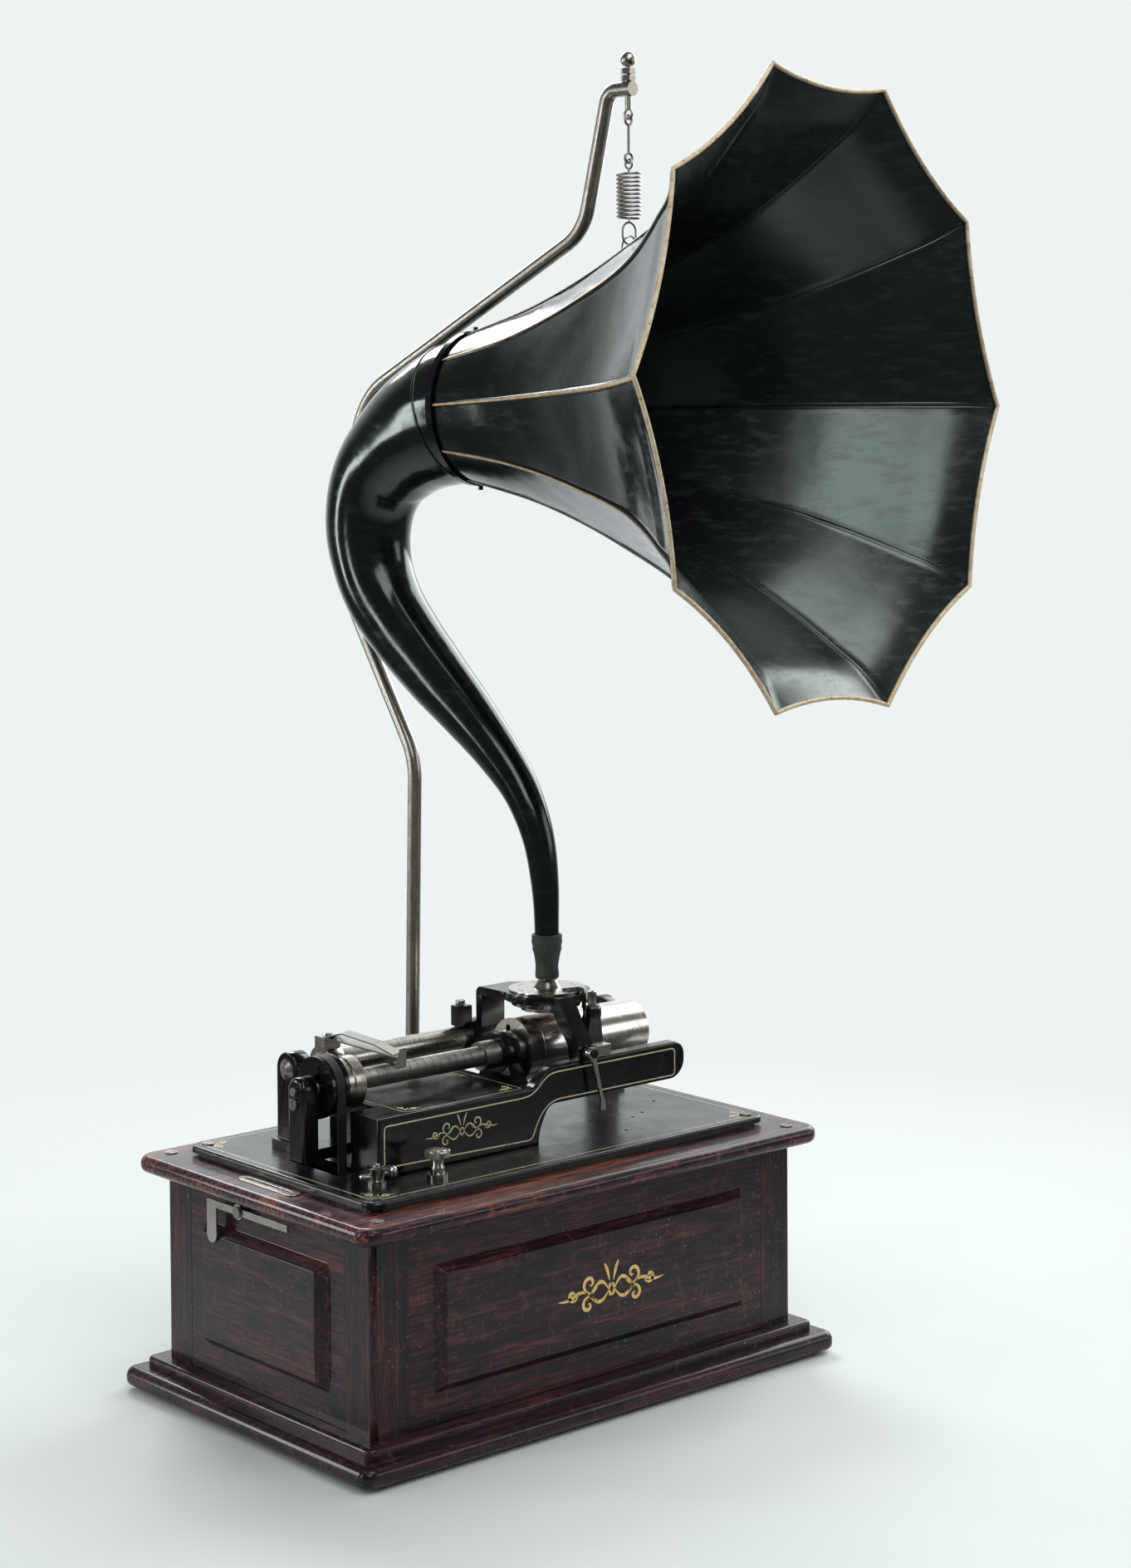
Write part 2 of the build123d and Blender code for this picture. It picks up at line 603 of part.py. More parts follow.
with BuildPart() as half_nut:
    block(-88, -79.5, axis_y - 7, axis_y + 6, 237, 250)
    tilted_box(*nut_strip, 60, 0, 14, mode=Mode.SUBTRACT)
    round_x(-89, -79, axis_y, axis_z, 7.3 + gap, mode=Mode.SUBTRACT)
half_nut.part.label = "half_nut"
export_step(half_nut.part, "parts/half_nut.step")

body_r = 26.5             # reproducer
body_z0 = 262.0
body_z1 = 272.0
disc_z1 = body_z1 + 1.6
plate_z0 = 266.0          # flat part of the carriage arm, round the reproducer
plate_z1 = body_z1
ear_x = 71.0              # clamp screw, on an ear in front of and below the plate
ear_y = -40.0
ear_z1 = 261.5
lever_x = 47.7
lever_z = 235.6
head_z0 = ear_z1 + 2.9

with BuildPart() as carriage_arm:
    round_x(20, 46, rod_y, rod_z, 13, hole=sleeve_r + fit)
    block(12, 24, rod_y - 5, rod_y + 5, rod_z + 9.2, 258)
    block(28, 50, rod_y - 11.5, rod_y - 5, rod_z + 7.8, plate_z1)
    with BuildSketch(Plane.XY.offset(plate_z0)) as plate:
        Polygon((28, 42), (50, 42), (82, 16), (78, -10), (30, -10), (28, 12), align=None)
        with Locations((ring_x, axis_y)):
            Circle(32)
    extrude(plate.sketch, amount=plate_z1 - plate_z0)
    arch = carriage_arm.edges().filter_by(Axis.X)
    fillet(arch.sort_by(lambda edge: edge.center().Y + edge.center().Z)[-1], radius=5.5)
    with BuildSketch(Plane.YZ.offset(40)) as leg:
        Polygon((-30, plate_z1), (-30, plate_z0 - 3), (-48, 240), (-50, 230 + fit), (-60, 230 + fit),
                (-60, 241), (-38, plate_z1), align=None)
    extrude(leg.sketch, amount=14)
    with BuildSketch(Plane.XY.offset(240)) as strut_foot:
        with Locations((56, -55)):
            Rectangle(16, 10)
    with BuildSketch(Plane.XY.offset(256.5)) as strut_head:
        with Locations((ear_x - 1.5, ear_y - 1)):
            Rectangle(10, 9)
    loft([strut_foot.sketch.faces()[0], strut_head.sketch.faces()[0]])
    with BuildSketch(Plane.XY.offset(257)) as fork_foot:
        with Locations((ear_x + 5.5, ear_y + 4)):
            Rectangle(6, 9)
    with BuildSketch(Plane.XY.offset(plate_z0 + 2)) as fork_head:
        with Locations((ear_x + 7.5, ear_y + 12.5)):
            Rectangle(9, 9)
    loft([fork_foot.sketch.faces()[0], fork_head.sketch.faces()[0]])
    round_z(ear_x, ear_y, ear_z1 - 6, ear_z1, 7)
    block(45, 66, face_y, rail_y, rail_top + fit, 241)
    round_z(ring_x, axis_y, 240, plate_z1 + 1, body_r + gap, mode=Mode.SUBTRACT)
    round_y(lever_x, lever_z, face_y - 8.7, face_y, 2.0)
    round_y(lever_x, lever_z, face_y - 9.6, face_y - 8.7, 3.2)
    round_z(ear_x, ear_y, ear_z1, plate_z1 + 1, 8, mode=Mode.SUBTRACT)
    round_z(ear_x, ear_y, 250, ear_z1 + 1, 2.5 + fit, mode=Mode.SUBTRACT)
carriage_arm.part.label = "carriage_arm"
export_step(carriage_arm.part, "parts/carriage_arm.step")

with BuildPart() as lift_lever:
    with BuildSketch(Plane.XZ.offset(0.6 - face_y)) as hub:
        with Locations((lever_x, lever_z)):
            Circle(4.6)
        Polygon((50, 232.6), (64, 232.6), (64, 240.8), (50, 240.8), align=None)
        with Locations((lever_x, lever_z)):
            Circle(2.0 + fit, mode=Mode.SUBTRACT)
    extrude(hub.sketch, amount=8.0)
    with BuildSketch(Plane.XZ.offset(8.6 - face_y)) as blade:
        with Locations((lever_x, lever_z)):
            Circle(4.6)
        Polygon((45.6, 234), (49.8, 234), (56.6, 201), (54.4, 201), align=None)
        Polygon((54.2, 203), (56.8, 203), (59.2, 193.5), (53.6, 193.5), align=None)
        with Locations((lever_x, lever_z)):
            Circle(2.0 + fit, mode=Mode.SUBTRACT)
    extrude(blade.sketch, amount=-2.3)
lift_lever.part.label = "lift_lever"
export_step(lift_lever.part, "parts/lift_lever.step")

with BuildPart() as clamp_screw:
    round_z(ear_x, ear_y, 256, head_z0, 2.5)
    round_z(ear_x, ear_y, head_z0, 274.4, 3.3)
clamp_screw.part.label = "clamp_screw"
export_step(clamp_screw.part, "parts/clamp_screw.step")

tip_x, tip_y = 60.3, -20.5                     # where the clamp's finger rests on the disc
finger_len = sqrt((tip_x - ear_x) ** 2 + (tip_y - ear_y) ** 2)
finger_dir = Vector((tip_x - ear_x) / finger_len, (tip_y - ear_y) / finger_len, 0)

with BuildPart() as reproducer_clamps:
    with BuildSketch(Plane.XY.offset(ear_z1 + 0.1)) as clamp_hub:
        with Locations((ear_x, ear_y)):
            Circle(5.6)
            Circle(2.5 + fit, mode=Mode.SUBTRACT)
    extrude(clamp_hub.sketch, amount=2.5)
    finger_plane = Plane((ear_x, ear_y, 0), x_dir=finger_dir,
                         z_dir=finger_dir.cross(Vector(0, 0, 1)))
    with BuildSketch(finger_plane.offset(-3.2)) as finger:
        Polygon((4.0, ear_z1 + 0.1), (7.0, ear_z1 + 0.1), (7.0, disc_z1 + 0.1),
                (finger_len, disc_z1 + 0.1), (finger_len, disc_z1 + 1.5), (9.5, disc_z1 + 3.6),
                (5.6, disc_z1 + 2.8), (4.0, disc_z1 - 1), align=None)
    extrude(finger.sketch, amount=6.4)
    round_z(17, rod_y, 258, 262, 3.6)
    block(13, 21, rod_y - 0.45, rod_y + 0.45, 261.3, 262.1, mode=Mode.SUBTRACT)
reproducer_clamps.part.label = "reproducer_clamps"
export_step(reproducer_clamps.part, "parts/reproducer_clamps.step")

with BuildPart() as reproducer_body:
    round_z(ring_x, axis_y, body_z0, body_z1, body_r)
    round_z(ring_x, axis_y, body_z1, disc_z1, body_r + 2.0)
    round_z(ring_x, axis_y, disc_z1 - 0.5, disc_z1 + 0.1, 22.5, hole=21.7, mode=Mode.SUBTRACT)
    with Locations(Location((ring_x, axis_y, disc_z1))):
        Cone(10.5, 7.2, 5.6, align=(Align.CENTER, Align.CENTER, Align.MIN))
    round_z(ring_x, axis_y, body_z0 - 1, body_z0 + 9, body_r - 3.5, mode=Mode.SUBTRACT)
    round_z(ring_x, axis_y, disc_z1, spigot_z - 1, 3.2)
    with Locations(Location((ring_x, axis_y, spigot_z))):
        Sphere(5.0)
    round_z(ring_x, axis_y, body_z0, spigot_z + 6, 1.6, mode=Mode.SUBTRACT)
    block(ring_x - 2.5, ring_x + 2.5, axis_y + 20.6, axis_y + 24.4, 257.4, body_z0 + 2)
    round_x(ring_x - 6, ring_x + 6, axis_y + 22.5, 259.4, 0.9)
reproducer_body.part.label = "reproducer_body"
export_step(reproducer_body.part, "parts/reproducer_body.step")

with BuildPart() as reproducer_weight:
    round_z(ring_x, axis_y, 258, 261.4, 19.6)
    for side in (-1, 1):
        x0, x1 = sorted((ring_x + side * 2.8, ring_x + side * 5.6))
        block(x0, x1, axis_y + 16, axis_y + 22.5, 258, 260.9)
        round_x(x0, x1, axis_y + 22.5, 259.4, 2.0)
    round_x(ring_x - 7, ring_x + 7, axis_y + 22.5, 259.4, 0.9 + fit, mode=Mode.SUBTRACT)
    with Locations(Location((ring_x, axis_y - 2, 257.1), (180, 0, 0))):
        Cone(1.8, 0.5, 1.8)
reproducer_weight.part.label = "reproducer_weight"
export_step(reproducer_weight.part, "parts/reproducer_weight.step")

connector_z0 = 280.4
connector_z1 = 313.2
neck_base_z = 300.0

with BuildPart() as horn_connector:
    with BuildSketch(Plane.XZ.offset(-axis_y)):
        with BuildLine():
            Polyline(
                (ring_x + 5.0 + fit, connector_z0), (ring_x + 8.7, connector_z0),
                (ring_x + 8.5, 289), (ring_x + 9.4, 297), (ring_x + 10.9, 302),
                (ring_x + 11.6, 308), (ring_x + 11.0, connector_z1),
                (ring_x + neck_foot_r + fit, connector_z1), (ring_x + neck_foot_r + fit, neck_base_z - 0.5),
                (ring_x + 5.0 + fit, 294), (ring_x + 5.0 + fit, connector_z0),
            )
        make_face()
    revolve(axis=Axis((ring_x, axis_y, 0), (0, 0, 1)))
horn_connector.part.label = "horn_connector"
export_step(horn_connector.part, "parts/horn_connector.step")

# ---------------------------------------------------------------- horn
facing = Vector(
    cos(radians(bell_tilt)) * cos(radians(horn_turn)),
    cos(radians(bell_tilt)) * sin(radians(horn_turn)),
    sin(radians(bell_tilt)),
)
mouth = horn_point(bell_reach, bell_z)
upright = (Vector(0, 0, 1) - facing * facing.Z).normalized()
throat = mouth - facing * bell_len


def bell_outline(behind, seam_r, middle_r):
    """The bell's outline: an arc from seam to seam across every panel."""
    section = Plane(mouth - facing * behind, x_dir=upright, z_dir=facing)
    step = 360 / bell_sides
    with BuildSketch(section) as outline:
        with BuildLine():
            for panel in range(bell_sides):
                first = radians(bell_twist + panel * step)
                middle = radians(bell_twist + (panel + 0.5) * step)
                last = radians(bell_twist + (panel + 1) * step)
                ThreePointArc(
                    (seam_r * cos(first), seam_r * sin(first)),
                    (middle_r * cos(middle), middle_r * sin(middle)),
                    (seam_r * cos(last), seam_r * sin(last)),
                )
        make_face()
    return outline.sketch.faces()[0]


def bell_faces(inset):
    """Outlines of the whole bell, moved inward by inset."""
    return [bell_outline(behind, seam_r - inset, seam_r * ratio - inset)
            for behind, seam_r, ratio in bell_stations]


with BuildPart(mode=Mode.PRIVATE) as bell_outside:
    loft(bell_faces(0))
with BuildPart(mode=Mode.PRIVATE) as bell_inside:
    loft(bell_faces(sheet_t + 0.3))

with BuildPart() as horn_bell:
    add(bell_outside.part)
    add(bell_inside.part, mode=Mode.SUBTRACT)
horn_bell.part.label = "horn_bell"
export_step(horn_bell.part, "parts/horn_bell.step")

with BuildPart() as horn_rim:
    mouth_r = bell_stations[0][1]
    mouth_middle_r = mouth_r * bell_stations[0][2]
    rim_outer = bell_outline(0, mouth_r + 1.2, mouth_middle_r + 1.2)
    rim_inner = bell_outline(0, mouth_r - 2.0, mouth_middle_r - 2.0)
    extrude(rim_outer, amount=2.6, dir=facing)
    extrude(rim_inner, amount=2.6, dir=facing, mode=Mode.SUBTRACT)
horn_rim.part.label = "horn_rim"
export_step(horn_rim.part, "parts/horn_rim.step")

centre_line = [throat] + [horn_point(reach, height) for reach, height, radius in neck_stations]
centre_line += [horn_point(0, neck_foot), horn_point(0, neck_base_z)]
neck_radii = [bell_stations[-1][1] - 0.4] + [radius for reach, height, radius in neck_stations]
neck_radii += [neck_foot_r, neck_foot_r]


def neck_faces(inset):
    """Circles square to the neck's centre line, from the bell down to the connector."""
    faces = []
    last = len(centre_line) - 1
    for index, middle in enumerate(centre_line):
        if index == 0:
            heading = facing * -1
        elif index >= last - 1:
            heading = Vector(0, 0, -1)
        else:
            heading = centre_line[index + 1] - centre_line[index - 1]
        with BuildSketch(Plane(middle, x_dir=facing.cross(upright), z_dir=heading)) as section:
            Circle(neck_radii[index] - inset)
        faces.append(section.sketch.faces()[0])
    return faces


with BuildPart() as horn_neck:
    loft(neck_faces(0))
    loft(neck_faces(sheet_t), mode=Mode.SUBTRACT)
horn_neck.part.label = "horn_neck"
export_step(horn_neck.part, "parts/horn_neck.step")

joint_plane = Plane(throat - facing * 5.2, x_dir=upright, z_dir=facing)

with BuildPart() as joint_ring:
    with BuildSketch(joint_plane):
        Circle(bell_stations[-1][1] + 2.2)
        Circle(bell_stations[-1][1] - 0.1, mode=Mode.SUBTRACT)
    extrude(amount=5.2)
    for side in (-1, 1):
        with BuildSketch(Plane(throat - facing * 2.6 + upright * side * 57.8, x_dir=facing,
                               z_dir=upright * side)) as stud:
            Circle(1.9)
        extrude(stud.sketch, amount=3.2)
joint_ring.part.label = "joint_ring"
export_step(joint_ring.part, "parts/joint_ring.step")

hook_at = horn_point(hook_reach, 0)
hook_x = hook_at.X
hook_y = hook_at.Y
eye_z = 816.5
wire_r = 0.8

with BuildPart() as horn_eye:
    round_z(hook_x, hook_y, 790, 805.5, 6.5)
    round_z(hook_x, hook_y, 805, eye_z - 7.2, 1.9)
    add(bell_outside.part, mode=Mode.SUBTRACT)
    wire_loop(Plane((hook_x, hook_y, eye_z), x_dir=(0, 1, 0), z_dir=(1, 0, 0)), 7.0 + wire_r, wire_r)
horn_eye.part.label = "horn_eye"
export_step(horn_eye.part, "parts/horn_eye.step")

# ---------------------------------------------------------------- crane and hanger
crane_reach = sqrt((hook_x - crane_post_x) ** 2 + (hook_y - crane_post_y) ** 2)
crane_dir = Vector((hook_x - crane_post_x) / crane_reach, (hook_y - crane_post_y) / crane_reach, 0)
crane_side = crane_dir.cross(Vector(0, 0, 1))
crane_plane = Plane((crane_post_x, crane_post_y, 0), x_dir=crane_dir, z_dir=crane_side)
post_bottom = 100.0
lug_low = 97.0
lug_high = 120.0

with BuildPart() as crane_bracket:
    block(crane_post_x - 17, crane_post_x + 17, half_d + field_rise, half_d + field_rise + 3.5, 90, 125.5)
    for z0 in (lug_low, lug_high):
        block(crane_post_x - 8, crane_post_x + 8, half_d + field_rise + 2, crane_post_y, z0, z0 + 9)
        round_z(crane_post_x, crane_post_y, z0, z0 + 9, 9.5)
    round_z(crane_post_x, crane_post_y, post_bottom, lug_high + 10, crane_r + fit, mode=Mode.SUBTRACT)
    for side in (-1, 1):
        round_y(crane_post_x + side * 12.5, 94.5, half_d + field_rise + 3, half_d + field_rise + 5, 2.6)
        round_y(crane_post_x + side * 12.5, 114, half_d + field_rise + 3, half_d + field_rise + 5, 2.6)
crane_bracket.part.label = "crane_bracket"
export_step(crane_bracket.part, "parts/crane_bracket.step")

with BuildPart() as crane_rod:
    with BuildLine(crane_plane) as crane_path:
        FilletPolyline(
            (0, post_bottom), (0, 190), (6, 432), (-64, 551), (-74, 640), (-42, 714.5),
            (186, 829.7), (211, crane_top), (crane_reach - 6, crane_top),
            radius=(200, 60, 70, 60, 60, 40, 10),
        )
    with BuildSketch(Plane((crane_post_x, crane_post_y, post_bottom), z_dir=(0, 0, 1))):
        Circle(crane_r)
    sweep()
crane_rod.part.label = "crane_rod"
export_step(crane_rod.part, "parts/crane_rod.step")

eye_drop = 912.0          # middle of the eye under the crane's tip
small_r = 3.4             # small rings of the hanger

with BuildPart() as crane_finial:
    with BuildSketch(Plane(crane_plane.from_local_coords(Vector(crane_reach - 6, crane_top, 0)),
                           z_dir=crane_dir)) as nose:
        Circle(crane_r)
    extrude(nose.sketch, amount=10.5)
    round_z(hook_x, hook_y, eye_drop + small_r - 0.2, 948, 2.4)
    for nut_z in (935.6, 940.6):
        with BuildSketch(Plane.XY.offset(nut_z)) as nut:
            with Locations((hook_x, hook_y)):
                RegularPolygon(5.6, 6)
        extrude(nut.sketch, amount=3.8)
    with Locations(Location((hook_x, hook_y, 950.7))):
        Sphere(5.6)
    wire_loop(Plane((hook_x, hook_y, eye_drop), x_dir=crane_dir, z_dir=crane_side), small_r, 1.0)
crane_finial.part.label = "crane_finial"
export_step(crane_finial.part, "parts/crane_finial.step")

link_top = eye_drop - 2 * small_r + 2.4
link_low = 880.5
coil_low = 837.5
coil_high = 870.0
coil_r = 8.2
hook_half = 6.3
hook_low = 818.7
hook_top = 834.3

with BuildPart() as hanging_link:
    wire_loop(Plane((hook_x, hook_y, link_top), x_dir=crane_side, z_dir=crane_dir), small_r, 1.0)
    round_z(hook_x, hook_y, link_low + small_r, link_top - small_r, 1.1)
    wire_loop(Plane((hook_x, hook_y, link_low), x_dir=(1, 0, 0), z_dir=(0, -1, 0)), small_r, 1.0)
hanging_link.part.label = "hanging_link"
export_step(hanging_link.part, "parts/hanging_link.step")

with BuildPart() as coil_spring:
    with BuildLine() as coil:
        Helix(pitch=(coil_high - coil_low) / 11, height=coil_high - coil_low, radius=coil_r,
              center=(hook_x, hook_y, coil_low))
    with BuildSketch(Plane(coil.line @ 0, z_dir=coil.line % 0)) as coil_wire:
        Circle(0.95)
    sweep(coil_wire.sketch, path=coil.line)
    round_x(hook_x - 0.6, hook_x + coil_r + 0.6, hook_y - 0.75, coil_low, 0.7)
    round_x(hook_x - 0.6, hook_x + coil_r + 0.6, hook_y + 0.75, coil_high, 0.7)
    wire_loop(Plane((hook_x, hook_y, link_low - 2 * small_r + 2.4), x_dir=(0, 1, 0), z_dir=(1, 0, 0)),
              small_r, 0.9)
    round_z(hook_x, hook_y, coil_high - 0.5, link_low - 3 * small_r + 2.8, 0.75)
    round_z(hook_x, hook_y, hook_top - 0.4, coil_low + 0.5, 0.6)
    with BuildLine(Plane((hook_x, hook_y, 0), x_dir=(1, 0, 0), z_dir=(0, -1, 0))) as hook:
        right = Line((hook_half, hook_low + hook_half), (hook_half, hook_top - hook_half))
        over = RadiusArc(right @ 1, (-hook_half, hook_top - hook_half), -hook_half)
        back = Line(over @ 1, (-hook_half, hook_low + hook_half))
        RadiusArc(back @ 1, right @ 0, -hook_half)
    hook_start = Plane((hook_x + hook_half, hook_y, hook_low + hook_half), z_dir=(0, 0, 1))
    with BuildSketch(hook_start) as hook_wire:
        Circle(wire_r)
    sweep(hook_wire.sketch, path=hook.line)
coil_spring.part.label = "coil_spring"
export_step(coil_spring.part, "parts/coil_spring.step")

# ---------------------------------------------------------------- controls on the bedplate
with BuildPart() as control_bushes:
    round_z(speed_x, speed_y, board_top, bed_top, 5.0, hole=3.0 + fit)
    round_z(speed_x, speed_y, bed_top, bed_top + 3.2, 7.2, hole=3.0 + fit)
    round_z(start_x, start_y, board_top, bed_top, 5.0, hole=3.0 + fit)
    round_z(start_x, start_y, bed_top, bed_top + 2.2, 6.6, hole=3.0 + fit)
control_bushes.part.label = "control_bushes"
export_step(control_bushes.part, "parts/control_bushes.step")

with BuildPart() as speed_screw:
    round_z(speed_x, speed_y, 158, 190, 3.0)
    round_z(speed_x, speed_y, bed_top + 3.3, 185.5, 4.9)
    round_z(speed_x, speed_y, 185.5, 191, 4.2)
    round_z(speed_x, speed_y, 191, 195.8, 8.8)
    round_z(speed_x, speed_y, 195.8, 196.6, 6.0)
speed_screw.part.label = "speed_screw"
export_step(speed_screw.part, "parts/speed_screw.step")

bar_z = bed_top + 6.4     # cross rod of the start lever, with a round knob at one end

with BuildPart() as start_lever:
    round_z(start_x, start_y, 158, bed_top + 3, 3.0)
    with Locations(Location((start_x, start_y, bed_top + 2.4))):
        Cone(4.8, 5.9, 2.0, align=(Align.CENTER, Align.CENTER, Align.MIN))
    round_z(start_x, start_y, bed_top + 4.4, bed_top + 8.4, 5.9)
    with Locations(Location((start_x, start_y, bed_top + 8.4))):
        Cone(5.9, 7.2, 3.2, align=(Align.CENTER, Align.CENTER, Align.MIN))
    round_z(start_x, start_y, bed_top + 11, bed_top + 14, 2.2)
    round_x(start_x - 11, start_x + 10, start_y, bar_z, 1.7)
    round_x(start_x + 8.9, start_x + 10.2, start_y, bar_z, 3.0)
    round_x(start_x + 10.2, start_x + 15.0, start_y, bar_z, 4.6)
    round_x(start_x + 15.0, start_x + 16.6, start_y, bar_z, 3.2)
    round_x(start_x - 14, start_x - 10.2, start_y, bar_z, 2.5)
start_lever.part.label = "start_lever"
export_step(start_lever.part, "parts/start_lever.step")

# ---------------------------------------------------------------- winding crank
arm_x0 = 224.0
arm_x1 = 231.0
grip_x1 = 298.0

with BuildPart() as crank_escutcheon:
    round_x(half_w + field_rise, half_w + field_rise + 3, crank_y, crank_z, 14, hole=5.0 + fit)
    round_x(half_w - 1, half_w + field_rise, crank_y, crank_z, crank_hole_r - gap, hole=5.0 + fit)
crank_escutcheon.part.label = "crank_escutcheon"
export_step(crank_escutcheon.part, "parts/crank_escutcheon.step")

with BuildPart() as crank:
    gear_x(6, 12, crank_y, crank_z, 16, 1.25, turn=180 / 16)
    round_x(-3, arm_x0, crank_y, crank_z, 5.0)
    round_x(arm_x0 - 8, arm_x0, crank_y, crank_z, 8.0)
    round_x(arm_x0, arm_x1, crank_y, crank_z, 10.0)
    round_x(arm_x0, arm_x1, crank_y + crank_arm, crank_z, 8.0)
    block(arm_x0, arm_x1, crank_y, crank_y + crank_arm, crank_z - 5.5, crank_z + 5.5)
    round_x(arm_x1, grip_x1 + 1, crank_y + crank_arm, crank_z, 3.0)
    round_x(grip_x1 + 1, grip_x1 + 3.4, crank_y + crank_arm, crank_z, 5.0)
crank.part.label = "crank"
export_step(crank.part, "parts/crank.step")

with BuildPart() as crank_handle:
    with BuildSketch(Plane.XY.offset(crank_z)):
        with BuildLine():
            grip = Spline(
                (arm_x1 + 1, crank_y + crank_arm + 7.5), (arm_x1 + 26, crank_y + crank_arm + 10),
                (grip_x1 - 22, crank_y + crank_arm + 11.5), (grip_x1, crank_y + crank_arm + 7),
            )
            Polyline(grip @ 1, (grip_x1, crank_y + crank_arm + 3 + fit),
                     (arm_x1 + 1, crank_y + crank_arm + 3 + fit), grip @ 0)
        make_face()
    revolve(axis=Axis((0, crank_y + crank_arm, crank_z), (1, 0, 0)))
crank_handle.part.label = "crank_handle"
export_step(crank_handle.part, "parts/crank_handle.step")

# ---------------------------------------------------------------- spring motor under the bedplate
motor_y0, motor_y1 = -60.0, 90.0
motor_z0, motor_z1 = 50.0, 140.0
arbor_r = 2.5

with BuildPart() as motor_plates:
    for x0 in (plate_left, plate_right):
        block(x0, x0 + plate_t, motor_y0, motor_y1, motor_z0, motor_z1)
        round_x(x0 - 1, x0 + plate_t + 1, barrel_y, barrel_z, 4.0 + fit, mode=Mode.SUBTRACT)
        round_x(x0 - 1, x0 + plate_t + 1, arbor2_y, arbor2_z, arbor_r + fit, mode=Mode.SUBTRACT)
        round_x(x0 - 1, x0 + plate_t + 1, arbor3_y, arbor3_z, arbor_r + fit, mode=Mode.SUBTRACT)
        round_x(x0 - 1, x0 + plate_t + 1, governor_y, governor_z, arbor_r + fit, mode=Mode.SUBTRACT)
    round_x(plate_right - 1, plate_right + plate_t + 1, crank_y, crank_z, 5.0 + fit, mode=Mode.SUBTRACT)
motor_plates.part.label = "motor_plates"
export_step(motor_plates.part, "parts/motor_plates.step")

with BuildPart() as motor_frame:
    for y in (motor_y0 + 8, motor_y1 - 8):
        round_x(plate_left + plate_t, plate_right, y, motor_z0 + 8, 5)
        round_x(plate_left + plate_t, plate_right, y, motor_z1 - 6, 5)
        for x0 in (plate_left, plate_right):
            block(x0, x0 + plate_t, y - 6, y + 6, motor_z1, board_top)
            block(x0 - 5, x0 + plate_t + 5, y - 6, y + 6, board_top - 4, board_top)
motor_frame.part.label = "motor_frame"
export_step(motor_frame.part, "parts/motor_frame.step")

with BuildPart() as spring_barrel:
    round_x(-58, -14, barrel_y, barrel_z, 36)
    round_x(-55.5, -16.5, barrel_y, barrel_z, 34, mode=Mode.SUBTRACT)
    gear_x(-64, -58, barrel_y, barrel_z, 80, 1.0, turn=200)
    round_x(-65, -13, barrel_y, barrel_z, 4.0 + fit, mode=Mode.SUBTRACT)
spring_barrel.part.label = "spring_barrel"
export_step(spring_barrel.part, "parts/spring_barrel.step")

with BuildPart() as mainspring:
    with BuildSketch(Plane.YZ.offset(-52)) as coil_strip:
        with BuildLine():
            Spline(*[
                (barrel_y + (8 + 0.45 * step) * cos(radians(36 * step)),
                 barrel_z + (8 + 0.45 * step) * sin(radians(36 * step))) for step in range(56)
            ])
        trace(line_width=0.9)
    extrude(coil_strip.sketch, amount=32)
mainspring.part.label = "mainspring"
export_step(mainspring.part, "parts/mainspring.step")

with BuildPart() as winding_arbor:
    gear_x(6, 12, barrel_y, barrel_z, 48, 1.25, turn=180)
    round_x(0.5, 6, barrel_y, barrel_z, 7)
    round_x(-119, 14, barrel_y, barrel_z, 4.0)
winding_arbor.part.label = "winding_arbor"
export_step(winding_arbor.part, "parts/winding_arbor.step")

with BuildPart() as idler_arbor:
    round_x(-118.5, 0.5, arbor2_y, arbor2_z, arbor_r)
    gear_x(-66, -56, arbor2_y, arbor2_z, 10, 1.0, turn=38)
    gear_x(-82, -78, arbor2_y, arbor2_z, 60, 0.8, turn=120)
idler_arbor.part.label = "idler_arbor"
export_step(idler_arbor.part, "parts/idler_arbor.step")

with BuildPart() as pulley_arbor:
    round_x(-153, 0.5, arbor3_y, arbor3_z, arbor_r)
    gear_x(-84, -76, arbor3_y, arbor3_z, 10, 0.8, turn=318)
    gear_x(-98, -95, arbor3_y, arbor3_z, 72, 0.5, turn=150)
    round_x(-151.5, -142.5, arbor3_y, arbor3_z, lower_r)
    round_x(-153, -151.5, arbor3_y, arbor3_z, lower_r + 2)
    round_x(-142.5, -141, arbor3_y, arbor3_z, lower_r + 2)
pulley_arbor.part.label = "pulley_arbor"
export_step(pulley_arbor.part, "parts/pulley_arbor.step")

with BuildPart() as governor:
    round_x(-118.5, 0.5, governor_y, governor_z, arbor_r)
    gear_x(-100, -93, governor_y, governor_z, 12, 0.5, turn=345)
    round_x(-88, -80, governor_y, governor_z, 6)
    round_x(-36, -28, governor_y, governor_z, 6)
    round_x(-28, -26, governor_y, governor_z, 14.5)
    with BuildSketch(Plane.YZ.offset(-63)) as weights:
        with Locations((governor_y, governor_z)):
            with PolarLocations(9, 3):
                Circle(4)
    extrude(weights.sketch, amount=10)
    with BuildSketch(Plane.YZ.offset(-88)) as leaves:
        with Locations((governor_y, governor_z)):
            with PolarLocations(5.4, 3):
                Rectangle(1.0, 5)
    extrude(leaves.sketch, amount=60)
governor.part.label = "governor"
export_step(governor.part, "parts/governor.step")
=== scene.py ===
import math

import bmesh
import bpy
import numpy as np
from mathutils import Matrix, Vector, noise


